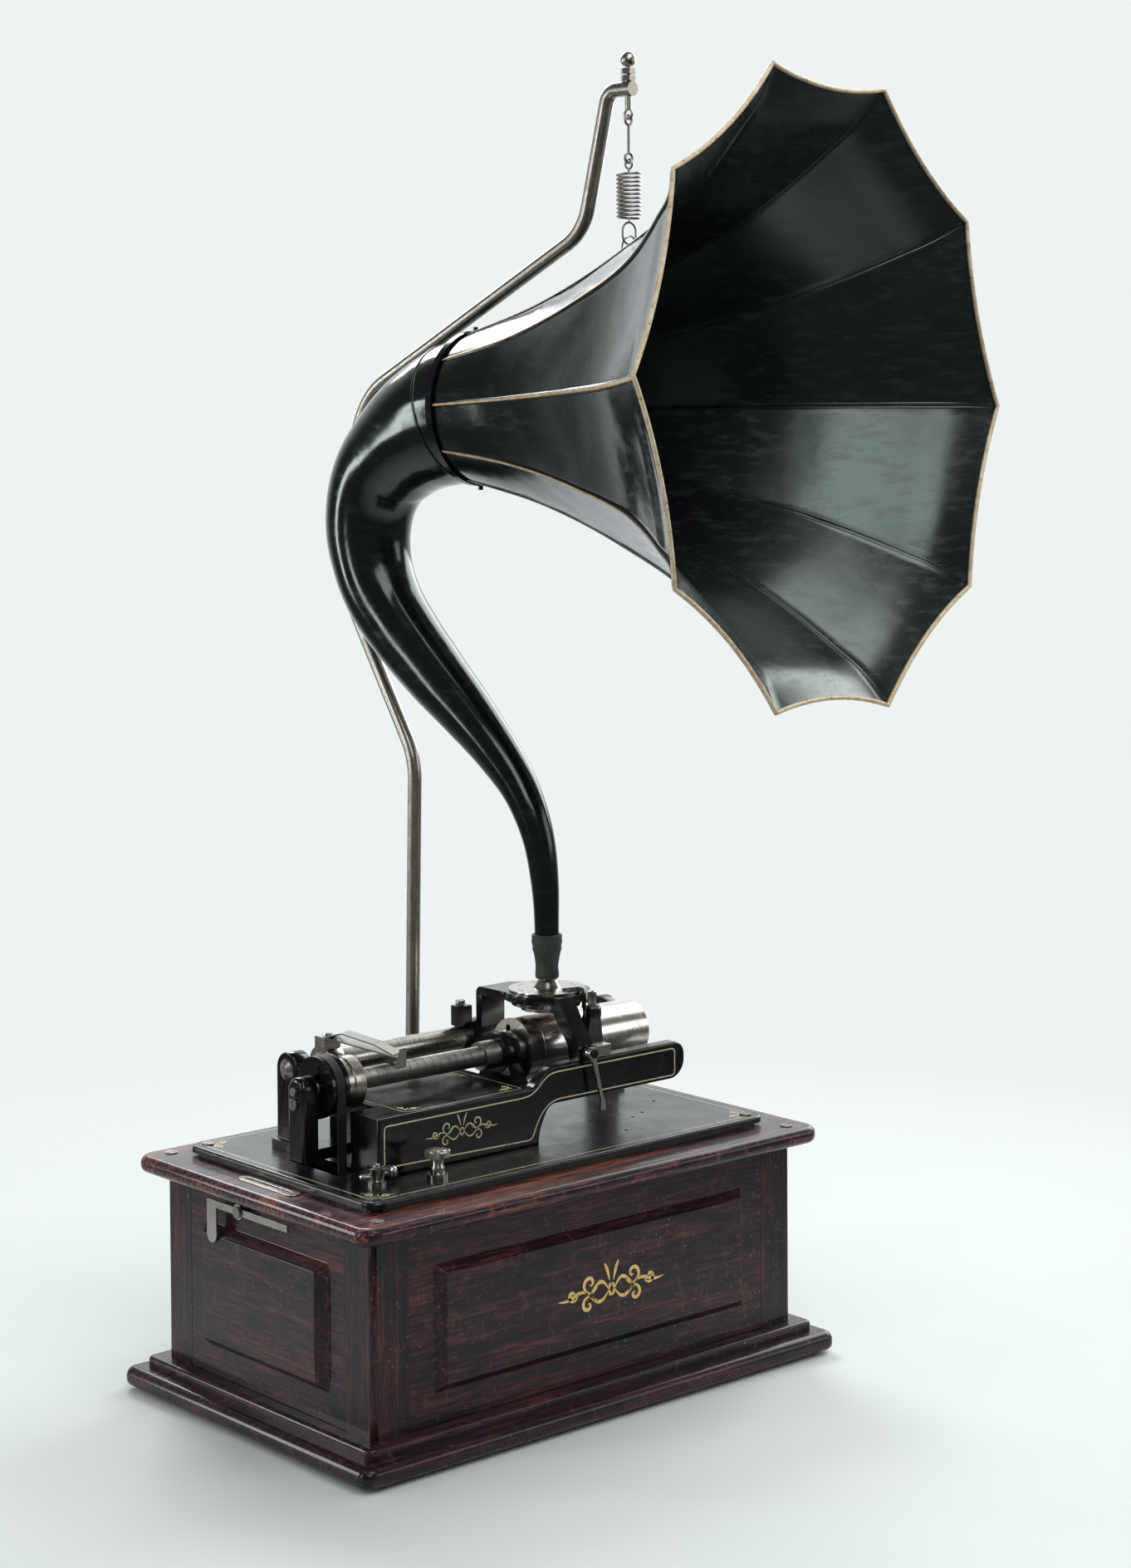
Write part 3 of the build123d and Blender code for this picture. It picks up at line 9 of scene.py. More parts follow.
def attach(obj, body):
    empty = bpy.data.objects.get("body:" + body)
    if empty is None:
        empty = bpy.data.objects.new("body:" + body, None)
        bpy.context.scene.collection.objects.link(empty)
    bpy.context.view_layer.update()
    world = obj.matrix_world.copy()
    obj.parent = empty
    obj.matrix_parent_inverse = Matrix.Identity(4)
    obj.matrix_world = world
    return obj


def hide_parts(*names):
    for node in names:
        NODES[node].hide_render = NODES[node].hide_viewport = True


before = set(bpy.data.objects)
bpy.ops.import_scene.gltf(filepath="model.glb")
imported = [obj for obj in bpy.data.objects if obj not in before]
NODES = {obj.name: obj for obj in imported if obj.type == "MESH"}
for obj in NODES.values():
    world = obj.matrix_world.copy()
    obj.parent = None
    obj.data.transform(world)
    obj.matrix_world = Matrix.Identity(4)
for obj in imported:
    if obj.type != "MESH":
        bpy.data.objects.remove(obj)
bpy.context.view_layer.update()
MM = 0.001


# ---------------------------------------------------------------- shader graphs
class Graph:
    """A material with one Principled shader, and short calls for the nodes that feed it."""

    def __init__(self, name, **sockets):
        self.mat = bpy.data.materials.new(name)
        self.mat.use_nodes = True
        self.nodes = self.mat.node_tree.nodes
        self.links = self.mat.node_tree.links
        self.shader = self.nodes["Principled BSDF"]
        self.coords = self.nodes.new("ShaderNodeTexCoord").outputs["Object"]
        for key, value in sockets.items():
            self.shader.inputs[key.replace("_", " ")].default_value = value

    def feed(self, socket, value):
        if hasattr(value, "links"):
            self.links.new(value, socket)
        else:
            socket.default_value = value

    def scaled(self, scale, turn=(0, 0, 0), move=(0, 0, 0)):
        """The object's coordinates, in metres, times a scale for each axis."""
        node = self.nodes.new("ShaderNodeMapping")
        node.inputs["Scale"].default_value = scale
        node.inputs["Rotation"].default_value = turn
        node.inputs["Location"].default_value = move
        self.links.new(self.coords, node.inputs["Vector"])
        return node.outputs["Vector"]

    def noise(self, vector, detail=4.0, rough=0.55, distort=0.0):
        node = self.nodes.new("ShaderNodeTexNoise")
        self.links.new(vector, node.inputs["Vector"])
        node.inputs["Scale"].default_value = 1.0
        node.inputs["Detail"].default_value = detail
        node.inputs["Roughness"].default_value = rough
        node.inputs["Distortion"].default_value = distort
        return node.outputs["Fac"]

    def cells(self, vector, feature="F1"):
        node = self.nodes.new("ShaderNodeTexVoronoi")
        node.feature = feature
        self.links.new(vector, node.inputs["Vector"])
        node.inputs["Scale"].default_value = 1.0
        return node.outputs["Distance"]

    def remap(self, value, low, high, to_low=0.0, to_high=1.0):
        node = self.nodes.new("ShaderNodeMapRange")
        self.links.new(value, node.inputs["Value"])
        for key, number in (("From Min", low), ("From Max", high), ("To Min", to_low), ("To Max", to_high)):
            node.inputs[key].default_value = number
        return node.outputs["Result"]

    def math(self, kind, first, second=0.0):
        node = self.nodes.new("ShaderNodeMath")
        node.operation = kind
        self.feed(node.inputs[0], first)
        self.feed(node.inputs[1], second)
        return node.outputs[0]

    def ramp(self, value, *stops):
        node = self.nodes.new("ShaderNodeValToRGB")
        self.links.new(value, node.inputs["Fac"])
        elements = node.color_ramp.elements
        while len(elements) < len(stops):
            elements.new(0.5)
        for element, (place, colour) in zip(elements, stops):
            element.position = place
            element.color = (*colour, 1.0)
        return node.outputs["Color"]

    def mix(self, factor, first, second):
        node = self.nodes.new("ShaderNodeMix")
        node.data_type = "RGBA"
        self.feed(node.inputs["Factor"], factor)
        for socket, value in ((node.inputs[6], first), (node.inputs[7], second)):
            self.feed(socket, value if hasattr(value, "links") else (*value, 1.0))
        return node.outputs[2]

    def colour(self, value):
        self.links.new(value, self.shader.inputs["Base Color"])

    def rough(self, value):
        self.links.new(value, self.shader.inputs["Roughness"])

    def bump(self, height, distance, strength=1.0):
        node = self.nodes.new("ShaderNodeBump")
        node.inputs["Strength"].default_value = strength
        node.inputs["Distance"].default_value = distance
        self.links.new(height, node.inputs["Height"])
        self.links.new(node.outputs["Normal"], self.shader.inputs["Normal"])


def oak(name, along, dark=1.0, warm=0.0):
    """Dark shellacked quarter-sawn oak; along is the axis that its grain runs on."""
    g = Graph(name, Coat_Weight=0.6, Coat_Roughness=0.12, Coat_IOR=1.42, Specular_IOR_Level=0.12)

    def grain(lengthwise, crosswise, move=0.0):
        scale = [crosswise] * 3
        scale[along] = lengthwise
        return g.scaled(tuple(scale), move=(move, move * 0.7, move * 1.3))

    figure = g.noise(grain(4, 55), detail=5, rough=0.62, distort=0.5)
    streaks = g.noise(grain(26, 420, 5.2), detail=4, rough=0.72)
    pores = g.noise(grain(45, 900, 1.7), detail=2, rough=0.5)
    flecks = g.noise(grain(120, 60, 7.7), detail=2, rough=0.4, distort=1.4)
    tone = g.math("ADD", g.math("MULTIPLY", figure, 0.4), g.math("MULTIPLY", streaks, 0.6))
    base = g.ramp(tone, (0.42, (0.0035 * dark, 0.0022 * dark, 0.0050 * dark)),
                  (0.50, (0.0190 * dark, 0.0062 * dark, 0.0135 * dark)),
                  (0.565, ((0.060 + warm) * dark, (0.0145 + 0.30 * warm) * dark, 0.0185 * dark)),
                  (0.65, ((0.120 + warm) * dark, (0.036 + 0.40 * warm) * dark, 0.026 * dark)))
    fleck_colour = ((0.13 + warm) * dark, 0.045 * dark, 0.030 * dark)
    base = g.mix(g.remap(flecks, 0.60, 0.70, 0.0, 0.45), base, fleck_colour)
    base = g.mix(g.remap(pores, 0.57, 0.64, 0.0, 0.9), base, (0.0022, 0.0014, 0.0032))
    haze = g.noise(g.scaled((9, 9, 9)), detail=4, rough=0.6)
    specks = g.cells(g.scaled((170, 170, 170)))
    chips = g.remap(specks, 0.10, 0.16, 0.7, 0.0)
    base = g.mix(g.math("MULTIPLY", chips, g.remap(haze, 0.46, 0.62)), base, (0.16, 0.155, 0.15))
    g.colour(base)
    g.rough(g.remap(haze, 0.3, 0.8, 0.30, 0.5))
    crackle = g.cells(g.scaled((230, 230, 230)), feature="DISTANCE_TO_EDGE")
    pits = g.math("ADD", g.remap(pores, 0.55, 0.66, 1.0, 0.0), g.remap(streaks, 0.42, 0.66, 0.7, 0.0))
    g.bump(g.math("ADD", pits, g.remap(crackle, 0.0, 0.08, 0.0, 0.35)), 0.00020)
    return g.mat


def pale_oak():
    """Raw oak, for the board under the case."""
    g = Graph("oak_inside", Roughness=0.7)
    figure = g.noise(g.scaled((6, 80, 80)), detail=5, distort=0.5)
    g.colour(g.ramp(figure, (0.35, (0.23, 0.13, 0.06)), (0.65, (0.40, 0.26, 0.14))))
    g.bump(g.noise(g.scaled((50, 700, 700)), detail=2), 0.0002)
    return g.mat


def japan(name, tint=(0.0040, 0.0050, 0.0056), gloss=0.12):
    """Old black japan: glossy, with dust, fine scratches and a faint orange peel."""
    g = Graph(name, Specular_IOR_Level=0.5)
    dust = g.noise(g.scaled((34, 34, 34)), detail=6, rough=0.65)
    specks = g.noise(g.scaled((900, 900, 900)), detail=2)
    base = g.mix(g.remap(dust, 0.5, 0.78, 0.0, 0.35), tint, (0.030, 0.034, 0.036))
    g.colour(g.mix(g.remap(specks, 0.70, 0.76, 0.0, 0.5), base, (0.07, 0.07, 0.065)))
    wear = g.noise(g.scaled((420, 30, 160), turn=(0.3, 0.5, 0.2)), detail=3)
    g.rough(g.math("ADD", g.remap(dust, 0.35, 0.8, gloss, gloss + 0.20),
                   g.remap(wear, 0.6, 0.8, 0.0, 0.12)))
    g.bump(g.noise(g.scaled((150, 150, 150)), detail=3), 0.00005)
    return g.mat


def horn_enamel(name, gloss, scuff_and_sheen, shine):
    """The horn's green-black enamel, with soft dents, scuffs and chipped specks; a large scuff amount also
    paints a pale sheen into the colour in place of light.
    """
    g = Graph(name, Specular_IOR_Level=shine, Specular_Tint=(0.84, 1.0, 0.96, 1.0))
    cloud = g.noise(g.scaled((7, 7, 7)), detail=5, rough=0.6)
    scuffs = g.noise(g.scaled((40, 40, 150), turn=(0.4, 0.2, 0.7)), detail=6, rough=0.72)
    specks = g.cells(g.scaled((210, 210, 210)))
    base = g.ramp(cloud, (0.34, (0.0050, 0.0040, 0.0072)), (0.55, (0.0050, 0.0070, 0.0072)),
                  (0.72, (0.0090, 0.0125, 0.0110)))
    # pale scuff colour: real scuffing, and where the amount is large also a painted sheen
    base = g.mix(g.remap(scuffs, 0.52, 0.74, 0.0, scuff_and_sheen), base, (0.040, 0.050, 0.046))
    worn = g.math("MULTIPLY", g.remap(specks, 0.06, 0.10, 0.8, 0.0), g.remap(cloud, 0.50, 0.62))
    g.colour(g.mix(worn, base, (0.075, 0.085, 0.080)))
    g.rough(g.math("ADD", g.remap(cloud, 0.3, 0.8, gloss, gloss + 0.10),
                   g.remap(scuffs, 0.5, 0.8, 0.0, 0.16)))
    dents = g.noise(g.scaled((26, 26, 26)), detail=2, rough=0.4)
    fine = g.noise(g.scaled((160, 160, 160)), detail=3)
    g.bump(g.math("ADD", g.math("MULTIPLY", dents, 5.0), g.math("MULTIPLY", fine, 0.6)), 0.00008)
    return g.mat


def metal(name, colour, rough, brush, stain, dark=(0.17, 0.14, 0.11)):
    """Plated or turned metal with brush lines, tarnish and fine scratches."""
    g = Graph(name, Metallic=1.0)
    lines = g.noise(g.scaled(brush), detail=4, rough=0.7)
    tarnish = g.noise(g.scaled((75, 75, 75)), detail=5, rough=0.65)
    spots = g.noise(g.scaled((520, 520, 520)), detail=2)
    base = g.mix(g.remap(tarnish, 0.50, 0.74, 0.0, stain), colour, dark)
    g.colour(g.mix(g.remap(spots, 0.66, 0.74, 0.0, stain), base, dark))
    low, high = rough
    g.rough(g.math("ADD", g.remap(lines, 0.3, 0.7, low, high),
                   g.remap(tarnish, 0.5, 0.8, 0.0, 0.12)))
    g.bump(lines, 0.000006)
    return g.mat


THREAD_PITCH = 0.00055      # metres


def threaded(name):
    """The feed screw: a thread too fine to see turn by turn, as ridges across it."""
    g = Graph(name, Metallic=1.0)
    split = g.nodes.new("ShaderNodeSeparateXYZ")
    g.links.new(g.coords, split.inputs[0])
    ridges = g.math("SINE", g.math("MULTIPLY", split.outputs[0], 2 * math.pi / THREAD_PITCH))
    grime = g.noise(g.scaled((40, 90, 90)), detail=5, rough=0.65)
    g.colour(g.mix(g.remap(grime, 0.42, 0.72, 0.0, 0.8), (0.33, 0.32, 0.30), (0.09, 0.08, 0.07)))
    g.rough(g.remap(grime, 0.3, 0.8, 0.26, 0.5))
    g.bump(ridges, 0.00010, 0.6)
    return g.mat


def gilt(name, colour, pale, metallic=0.2):
    """Painted gilding, worn through in chips."""
    g = Graph(name, Metallic=metallic, Specular_IOR_Level=0.4)
    wear = g.noise(g.scaled((120, 120, 120)), detail=5, rough=0.7)
    base = g.mix(g.remap(wear, 0.35, 0.7), colour, pale)
    chips = g.noise(g.scaled((330, 330, 330)), detail=3)
    g.colour(g.mix(g.remap(chips, 0.62, 0.70, 0.0, 0.8), base, (0.05, 0.035, 0.02)))
    g.rough(g.remap(wear, 0.3, 0.8, 0.34, 0.6))
    g.bump(chips, 0.00005)
    return g.mat


def rubber():
    """Grey-green perished rubber with a bloom and fine wrinkles."""
    g = Graph("aged_rubber", Specular_IOR_Level=0.35)
    bloom = g.noise(g.scaled((160, 160, 90)), detail=6, rough=0.7)
    g.colour(g.ramp(bloom, (0.3, (0.032, 0.040, 0.034)), (0.55, (0.055, 0.068, 0.056)),
                    (0.75, (0.095, 0.105, 0.085))))
    g.rough(g.remap(bloom, 0.3, 0.8, 0.55, 0.82))
    wrinkles = g.noise(g.scaled((260, 260, 620)), detail=4, distort=0.8)
    g.bump(wrinkles, 0.0003)
    return g.mat


def plain(name, colour, deep, scale, rough, bump):
    """A dull material with mottling, for felt, leather, iron and the handle."""
    g = Graph(name, Specular_IOR_Level=0.4)
    mottle = g.noise(g.scaled(scale), detail=6, rough=0.7)
    g.colour(g.mix(g.remap(mottle, 0.3, 0.7), colour, deep))
    g.rough(g.remap(mottle, 0.3, 0.8, rough, rough + 0.2))
    g.bump(mottle, bump)
    return g.mat


OAK_X = oak("oak_grain_x", 0)
OAK_Y = oak("oak_grain_y", 1)
OAK_Z = oak("oak_grain_z", 2, 0.85)
OAK_TOP = oak("oak_top_board", 0, 2.0, 0.06)
JAPAN = japan("black_japan")
CASTING_JAPAN = japan("casting_japan", (0.0028, 0.0034, 0.0042), 0.12)
BED_JAPAN = japan("bedplate_japan", (0.0050, 0.0070, 0.0070), 0.20)
ENAMEL = horn_enamel("horn_enamel", 0.10, 0.25, 0.6)
# the inside takes more than twice the outside's pale scuff colour: partly real scuffing, partly a painted
# sheen standing in for light on the inner panels
INNER_ENAMEL_PAINTED_SHEEN = horn_enamel("horn_inside_enamel_painted_sheen", 0.22, 0.55, 0.85)
NICKEL = metal("worn_nickel", (0.47, 0.44, 0.40), (0.15, 0.28), (420, 420, 420), 0.45)
NICKEL_X = metal("turned_nickel", (0.52, 0.49, 0.44), (0.18, 0.36), (900, 24, 24), 0.6)
MANDREL = metal("mandrel_nickel", (0.80, 0.75, 0.69), (0.16, 0.27), (900, 14, 14), 0.55,
                (0.24, 0.17, 0.12))
STEEL = metal("bright_steel", (0.52, 0.51, 0.49), (0.22, 0.40), (700, 40, 40), 0.4)
ROD = metal("crane_nickel", (0.42, 0.40, 0.35), (0.24, 0.38), (260, 260, 60), 0.5)
WIRE = metal("spring_wire", (0.36, 0.35, 0.33), (0.28, 0.45), (500, 500, 500), 0.5)
BRASS = metal("motor_brass", (0.62, 0.43, 0.17), (0.25, 0.42), (800, 60, 60), 0.5, (0.16, 0.09, 0.03))
THREAD = threaded("feed_thread")
GILT = gilt("gilt_line", (0.80, 0.66, 0.34), (0.95, 0.88, 0.62))
SEAM_GILT = gilt("seam_gilt", (0.50, 0.29, 0.11), (0.84, 0.66, 0.42), 0.25)
RIM_GILT = gilt("rim_gilt", (0.62, 0.44, 0.24), (0.90, 0.80, 0.62), 0.1)
LEAF = gilt("gold_leaf", (0.80, 0.50, 0.12), (0.95, 0.72, 0.30), 0.3)
RUBBER = rubber()
FELT = plain("green_felt", (0.012, 0.03, 0.014), (0.03, 0.06, 0.03), (900, 900, 900), 0.75, 0.0004)
LEATHER = plain("belt_leather", (0.018, 0.012, 0.009), (0.008, 0.006, 0.005), (400, 400, 400),
                0.5, 0.0002)
IRON = plain("dark_iron", (0.05, 0.05, 0.052), (0.02, 0.02, 0.022), (300, 300, 300), 0.45, 0.0001)
GRIP = plain("handle_wood", (0.05, 0.016, 0.009), (0.02, 0.007, 0.005), (30, 320, 320), 0.28, 0.0001)
PALE_OAK = pale_oak()
SCREW = metal("screw_steel", (0.30, 0.28, 0.25), (0.24, 0.42), (500, 500, 500), 0.7, (0.06, 0.05, 0.04))

for material, names in (
    (OAK_X, ("base_moulding", "front_board", "rear_board")), (OAK_Y, ("left_board", "right_board")),
    (OAK_Z, ("corner_posts",)), (OAK_TOP, ("top_board",)), (PALE_OAK, ("bottom_board",)), (FELT, ("feet",)),
    (BED_JAPAN, ("bedplate",)),
    (CASTING_JAPAN, ("main_casting", "shaft_yoke")),
    (JAPAN, ("rod_supports", "mandrel_bearing", "upper_pulley", "carriage_arm")),
    (SCREW, ("case_screws", "centre_screws")),
    (NICKEL, ("slot_plates", "left_latch", "right_latch", "half_nut_arm",
              "half_nut", "lift_lever", "clamp_screw", "reproducer_clamps", "reproducer_body",
              "reproducer_weight", "horn_eye", "control_bushes", "speed_screw", "start_lever",
              "crank_escutcheon", "crank")),
    (NICKEL_X, ("pulley_ring", "carriage_sleeve")), (MANDREL, ("mandrel",)), (THREAD, ("feed_screw",)),
    (STEEL, ("back_rod", "winding_arbor", "pulley_arbor")), (LEATHER, ("drive_belt",)),
    (RUBBER, ("horn_connector",)), (ENAMEL, ("horn_bell", "horn_neck", "joint_ring")),
    (RIM_GILT, ("horn_rim",)), (ROD, ("crane_rod", "crane_finial", "crane_bracket")),
    (WIRE, ("hanging_link", "coil_spring", "mainspring")), (GRIP, ("crank_handle",)),
    (IRON, ("motor_plates", "motor_frame")), (BRASS, ("spring_barrel", "idler_arbor", "governor")),
):
    for node_name in names:
        slots = NODES[node_name].data.materials
        slots.clear()
        slots.append(material)


# ---------------------------------------------------------------- making pieces
def piece(name, verts, faces, material, body, smooth=True, stands_for=()):
    """A mesh that rides on a body, takes one material and may stand for CAD nodes."""
    data = bpy.data.meshes.new(name)
    data.from_pydata([tuple(v) for v in verts], [], faces)
    data.materials.append(material)
    obj = bpy.data.objects.new(name, data)
    bpy.context.scene.collection.objects.link(obj)
    cleaner = bmesh.new()
    cleaner.from_mesh(data)
    bmesh.ops.recalc_face_normals(cleaner, faces=cleaner.faces)
    cleaner.to_mesh(data)
    cleaner.free()
    if smooth:
        data.shade_smooth()
    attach(obj, body)
    if stands_for:
        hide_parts(*stands_for)
    return obj


def grid_faces(rows, columns, closed=False):
    """Quads over a grid of points; closed joins the last column to the first."""
    faces = []
    for row in range(rows - 1):
        for column in range(columns if closed else columns - 1):
            following = (column + 1) % columns
            faces.append((row * columns + column, row * columns + following,
                          (row + 1) * columns + following, (row + 1) * columns + column))
    return faces


def smooth_line(knots, values, at):
    """Values at a place, on a smooth curve through rising knots."""
    index = min(max(int(np.searchsorted(knots, at)) - 1, 0), len(knots) - 2)

    def slope(i):
        if i == 0 or i == len(knots) - 1:
            j = min(i, len(knots) - 2)
            return (values[j + 1] - values[j]) / (knots[j + 1] - knots[j])
        before = (values[i] - values[i - 1]) / (knots[i] - knots[i - 1])
        after = (values[i + 1] - values[i]) / (knots[i + 1] - knots[i])
        width = knots[i + 1] - knots[i - 1]
        return (before * (knots[i + 1] - knots[i]) + after * (knots[i] - knots[i - 1])) / width

    span = knots[index + 1] - knots[index]
    t = (at - knots[index]) / span
    return ((2 * t ** 3 - 3 * t ** 2 + 1) * values[index] + (t ** 3 - 2 * t ** 2 + t) * span * slope(index)
            + (3 * t ** 2 - 2 * t ** 3) * values[index + 1] + (t ** 3 - t ** 2) * span * slope(index + 1))


def soften(names, width, segments=2, angle=35.0):
    """Rounds the hard edges of CAD nodes a little, with modifiers."""
    for node_name in names:
        obj = NODES[node_name]
        weld = obj.modifiers.new("weld", "WELD")
        weld.merge_threshold = 1e-6
        bevel = obj.modifiers.new("edges", "BEVEL")
        bevel.width = width
        bevel.segments = segments
        bevel.limit_method = "ANGLE"
        bevel.angle_limit = math.radians(angle)
        bevel.harden_normals = True
        bevel.use_clamp_overlap = True


# ---------------------------------------------------------------- horn
TURN = math.radians(-78.7)
TILT = math.radians(1.8)
RING = Vector((0.0576, -0.005, 0.0))
AHEAD = Vector((math.cos(TURN), math.sin(TURN), 0))
FACING = Vector((math.cos(TILT) * AHEAD.x, math.cos(TILT) * AHEAD.y, math.sin(TILT)))
MOUTH_REACH, MOUTH_HEIGHT = 0.2507, 0.7113
MOUTH = RING + AHEAD * MOUTH_REACH + Vector((0, 0, MOUTH_HEIGHT))
UPRIGHT = (Vector((0, 0, 1)) - FACING * FACING.z).normalized()
SIDEWAYS = FACING.cross(UPRIGHT)
SEAMS = 10
STEP = 2 * math.pi / SEAMS
TWIST = math.radians(15.3)
# distance behind the mouth, radius at a seam there, and the panel's middle as a share of that radius
BEHIND = [0.0, 0.012, 0.037, 0.077, 0.155, 0.233, 0.310]
SEAM_R = [0.228, 0.2095, 0.185, 0.1515, 0.1085, 0.0767, 0.056]
MIDDLE = [0.917, 0.925, 0.937, 0.948, 0.958, 0.975, 1.0]
LENGTH = BEHIND[-1]
BELL_ROWS, PANEL_COLUMNS = 90, 14
BELL_COLUMNS = PANEL_COLUMNS * SEAMS
BELL_SHEET = 1.1 * MM


def bell_point(behind, panel, across, lift=0.0):
    """A point of the bell: behind the mouth, panel number, across from 0 to 1, lift outward."""
    seam_r = smooth_line(BEHIND, SEAM_R, behind) + lift
    middle_r = seam_r * smooth_line(BEHIND, MIDDLE, behind)
    t = 2 * across - 1
    half = STEP / 2
    reach = seam_r * math.cos(half) + (middle_r - seam_r * math.cos(half)) * (1 - t * t)
    side = seam_r * math.sin(half) * t
    angle = TWIST + (panel + 0.5) * STEP
    towards = UPRIGHT * math.cos(angle) + SIDEWAYS * math.sin(angle)
    aside = SIDEWAYS * math.cos(angle) - UPRIGHT * math.sin(angle)
    return MOUTH - FACING * behind + towards * reach + aside * side


def bell_skin(lift):
    """The points of one side of the bell's sheet, with slight dents that die out at its ends."""
    verts = []
    for row in range(BELL_ROWS):
        behind = LENGTH * (row / (BELL_ROWS - 1)) ** 1.35
        for panel in range(SEAMS):
            for column in range(PANEL_COLUMNS):
                point = bell_point(behind, panel, column / PANEL_COLUMNS, lift)
                outward = (point - MOUTH + FACING * behind).normalized()
                edge = min(1.0, 8 * min(row, BELL_ROWS - 1 - row) / BELL_ROWS)
                dent = (noise.noise(point * 16) * 0.9
                        + noise.noise(point * 38 + Vector((5, 2, 1))) * 0.35)
                verts.append(point + outward * (dent * MM * 0.8 * edge))
    return verts


def two_skins(rows, columns):
    """Faces of a sheet with two sides: the outer grid, the inner grid and the two ends."""
    count = rows * columns
    faces = grid_faces(rows, columns, True)
    faces += [tuple(count + i for i in reversed(face)) for face in faces]
    for end in (0, (rows - 1) * columns):
        for column in range(columns):
            following = (column + 1) % columns
            faces.append((end + column, end + following,
                          count + end + following, count + end + column))
    return faces


bell = piece("horn_bell_sheet", bell_skin(0.0) + bell_skin(-BELL_SHEET),
             two_skins(BELL_ROWS, BELL_COLUMNS), ENAMEL, "horn", stands_for=("horn_bell",))
bell.data.materials.append(INNER_ENAMEL_PAINTED_SHEEN)
for face in bell.data.polygons:
    face.material_index = int(min(face.vertices) >= BELL_ROWS * BELL_COLUMNS)


def seam_strip(name, section, start, stop, material, inside=False):
    """A strip along every seam; section gives (aside, outward) points in millimetres."""
    verts, quads = [], []
    steps = 60
    for panel in range(SEAMS):
        angle = TWIST + panel * STEP
        outward = UPRIGHT * math.cos(angle) + SIDEWAYS * math.sin(angle)
        aside = SIDEWAYS * math.cos(angle) - UPRIGHT * math.sin(angle)
        base = len(verts)
        for step in range(steps):
            behind = start + (stop - start) * (step / (steps - 1)) ** 1.3
            centre = bell_point(behind, panel, 0.0, -BELL_SHEET if inside else 0.0)
            narrow = 0.7 + 0.3 * (1 - behind / LENGTH)
            for x, out in section:
                verts.append(centre + aside * (x * MM * narrow) + outward * (out * MM))
        width = len(section)
        quads += [tuple(base + i for i in face) for face in grid_faces(steps, width, True)]
        quads.append(tuple(base + i for i in range(width)))
        quads.append(tuple(base + (steps - 1) * width + i for i in reversed(range(width))))
    return piece(name, verts, quads, material, "horn")


seam_strip("horn_outer_seams", [(-3.0, -0.9), (-2.2, 0.35), (-1.3, 0.85),
                                (1.3, 0.85), (2.2, 0.35), (3.0, -0.9)],
           0.002, 0.3095, ENAMEL)
seam_strip("horn_seam_gilding", [(-1.35, 0.75), (-1.1, 1.05), (1.1, 1.05), (1.35, 0.75)],
           0.0025, 0.3085, SEAM_GILT)
seam_strip("horn_inner_folds", [(-3.0, 0.6), (-2.5, -0.9), (-1.6, -1.35), (-0.8, -0.9), (-0.4, 0.2),
                                (0.4, 0.2), (0.8, -0.9), (1.6, -1.35), (2.5, -0.9), (3.0, 0.6)],
           0.002, 0.3095, INNER_ENAMEL_PAINTED_SHEEN, inside=True)


def wire_loop(name, line, radius, material, body, stands_for, around=10):
    """A round wire along a closed line of points."""
    verts = []
    total = len(line)
    for index in range(total):
        heading = (line[(index + 1) % total] - line[index - 1]).normalized()
        first = heading.cross(FACING).normalized()
        second = heading.cross(first)
        for k in range(around):
            angle = 2 * math.pi * k / around
            verts.append(line[index] + (first * math.cos(angle) + second * math.sin(angle)) * radius)
    quads = grid_faces(total, around, True)
    last = (total - 1) * around
    quads += [(last + k, last + (k + 1) % around, (k + 1) % around, k) for k in range(around)]
    return piece(name, verts, quads, material, body, stands_for=stands_for)


RIM_COLUMNS = 18
rim_line = [bell_point(0.0, panel, column / RIM_COLUMNS, -0.4 * MM) + FACING * (0.9 * MM)
            for panel in range(SEAMS) for column in range(RIM_COLUMNS)]
wire_loop("horn_rim_bead", rim_line, 1.65 * MM, RIM_GILT, "horn", ("horn_rim",))

THROAT = MOUTH - FACING * LENGTH
NECK_ROWS, NECK_AROUND = 150, 56
NECK_SHEET = 0.9 * MM
# reach ahead of the rubber connector, height and radius along the neck, in millimetres
NECK = [(-78.0, 698.0, 53.4), (-97.0, 692.0, 50.6), (-119.0, 682.5, 46.2), (-140.0, 669.0, 41.4),
        (-158.0, 652.0, 37.6), (-168.5, 632.0, 35.0), (-172.5, 606.0, 32.8), (-168.0, 580.0, 30.6),
        (-155.0, 553.0, 28.8), (-134.0, 528.0, 27.0), (-104.0, 499.0, 24.4), (-75.0, 473.0, 21.0),
        (-44.0, 443.0, 17.0), (-22.0, 416.0, 14.2), (-8.0, 386.0, 12.2), (-1.5, 352.0, 10.4),
        (0.0, 318.0, 9.2), (0.0, 300.0, 9.2)]
neck_knots = [THROAT] + [RING + AHEAD * (reach * MM) + Vector((0, 0, height * MM))
                         for reach, height, _ in NECK]
neck_radii = [55.6 * MM] + [radius * MM for _, _, radius in NECK]
run = [0.0]
for index in range(1, len(neck_knots)):
    run.append(run[-1] + (neck_knots[index] - neck_knots[index - 1]).length)


def neck_centre(at):
    return Vector([smooth_line(run, [knot[axis] for knot in neck_knots], at) for axis in range(3)])


def neck_frame(at):
    """The centre and two directions across the neck at a distance from the bell."""
    centre = neck_centre(at)
    heading = (neck_centre(min(at + 0.002, run[-1])) - neck_centre(max(at - 0.002, 0.0))).normalized()
    flat = Vector((-AHEAD.y, AHEAD.x, 0))
    return centre, flat, heading.cross(flat).normalized()


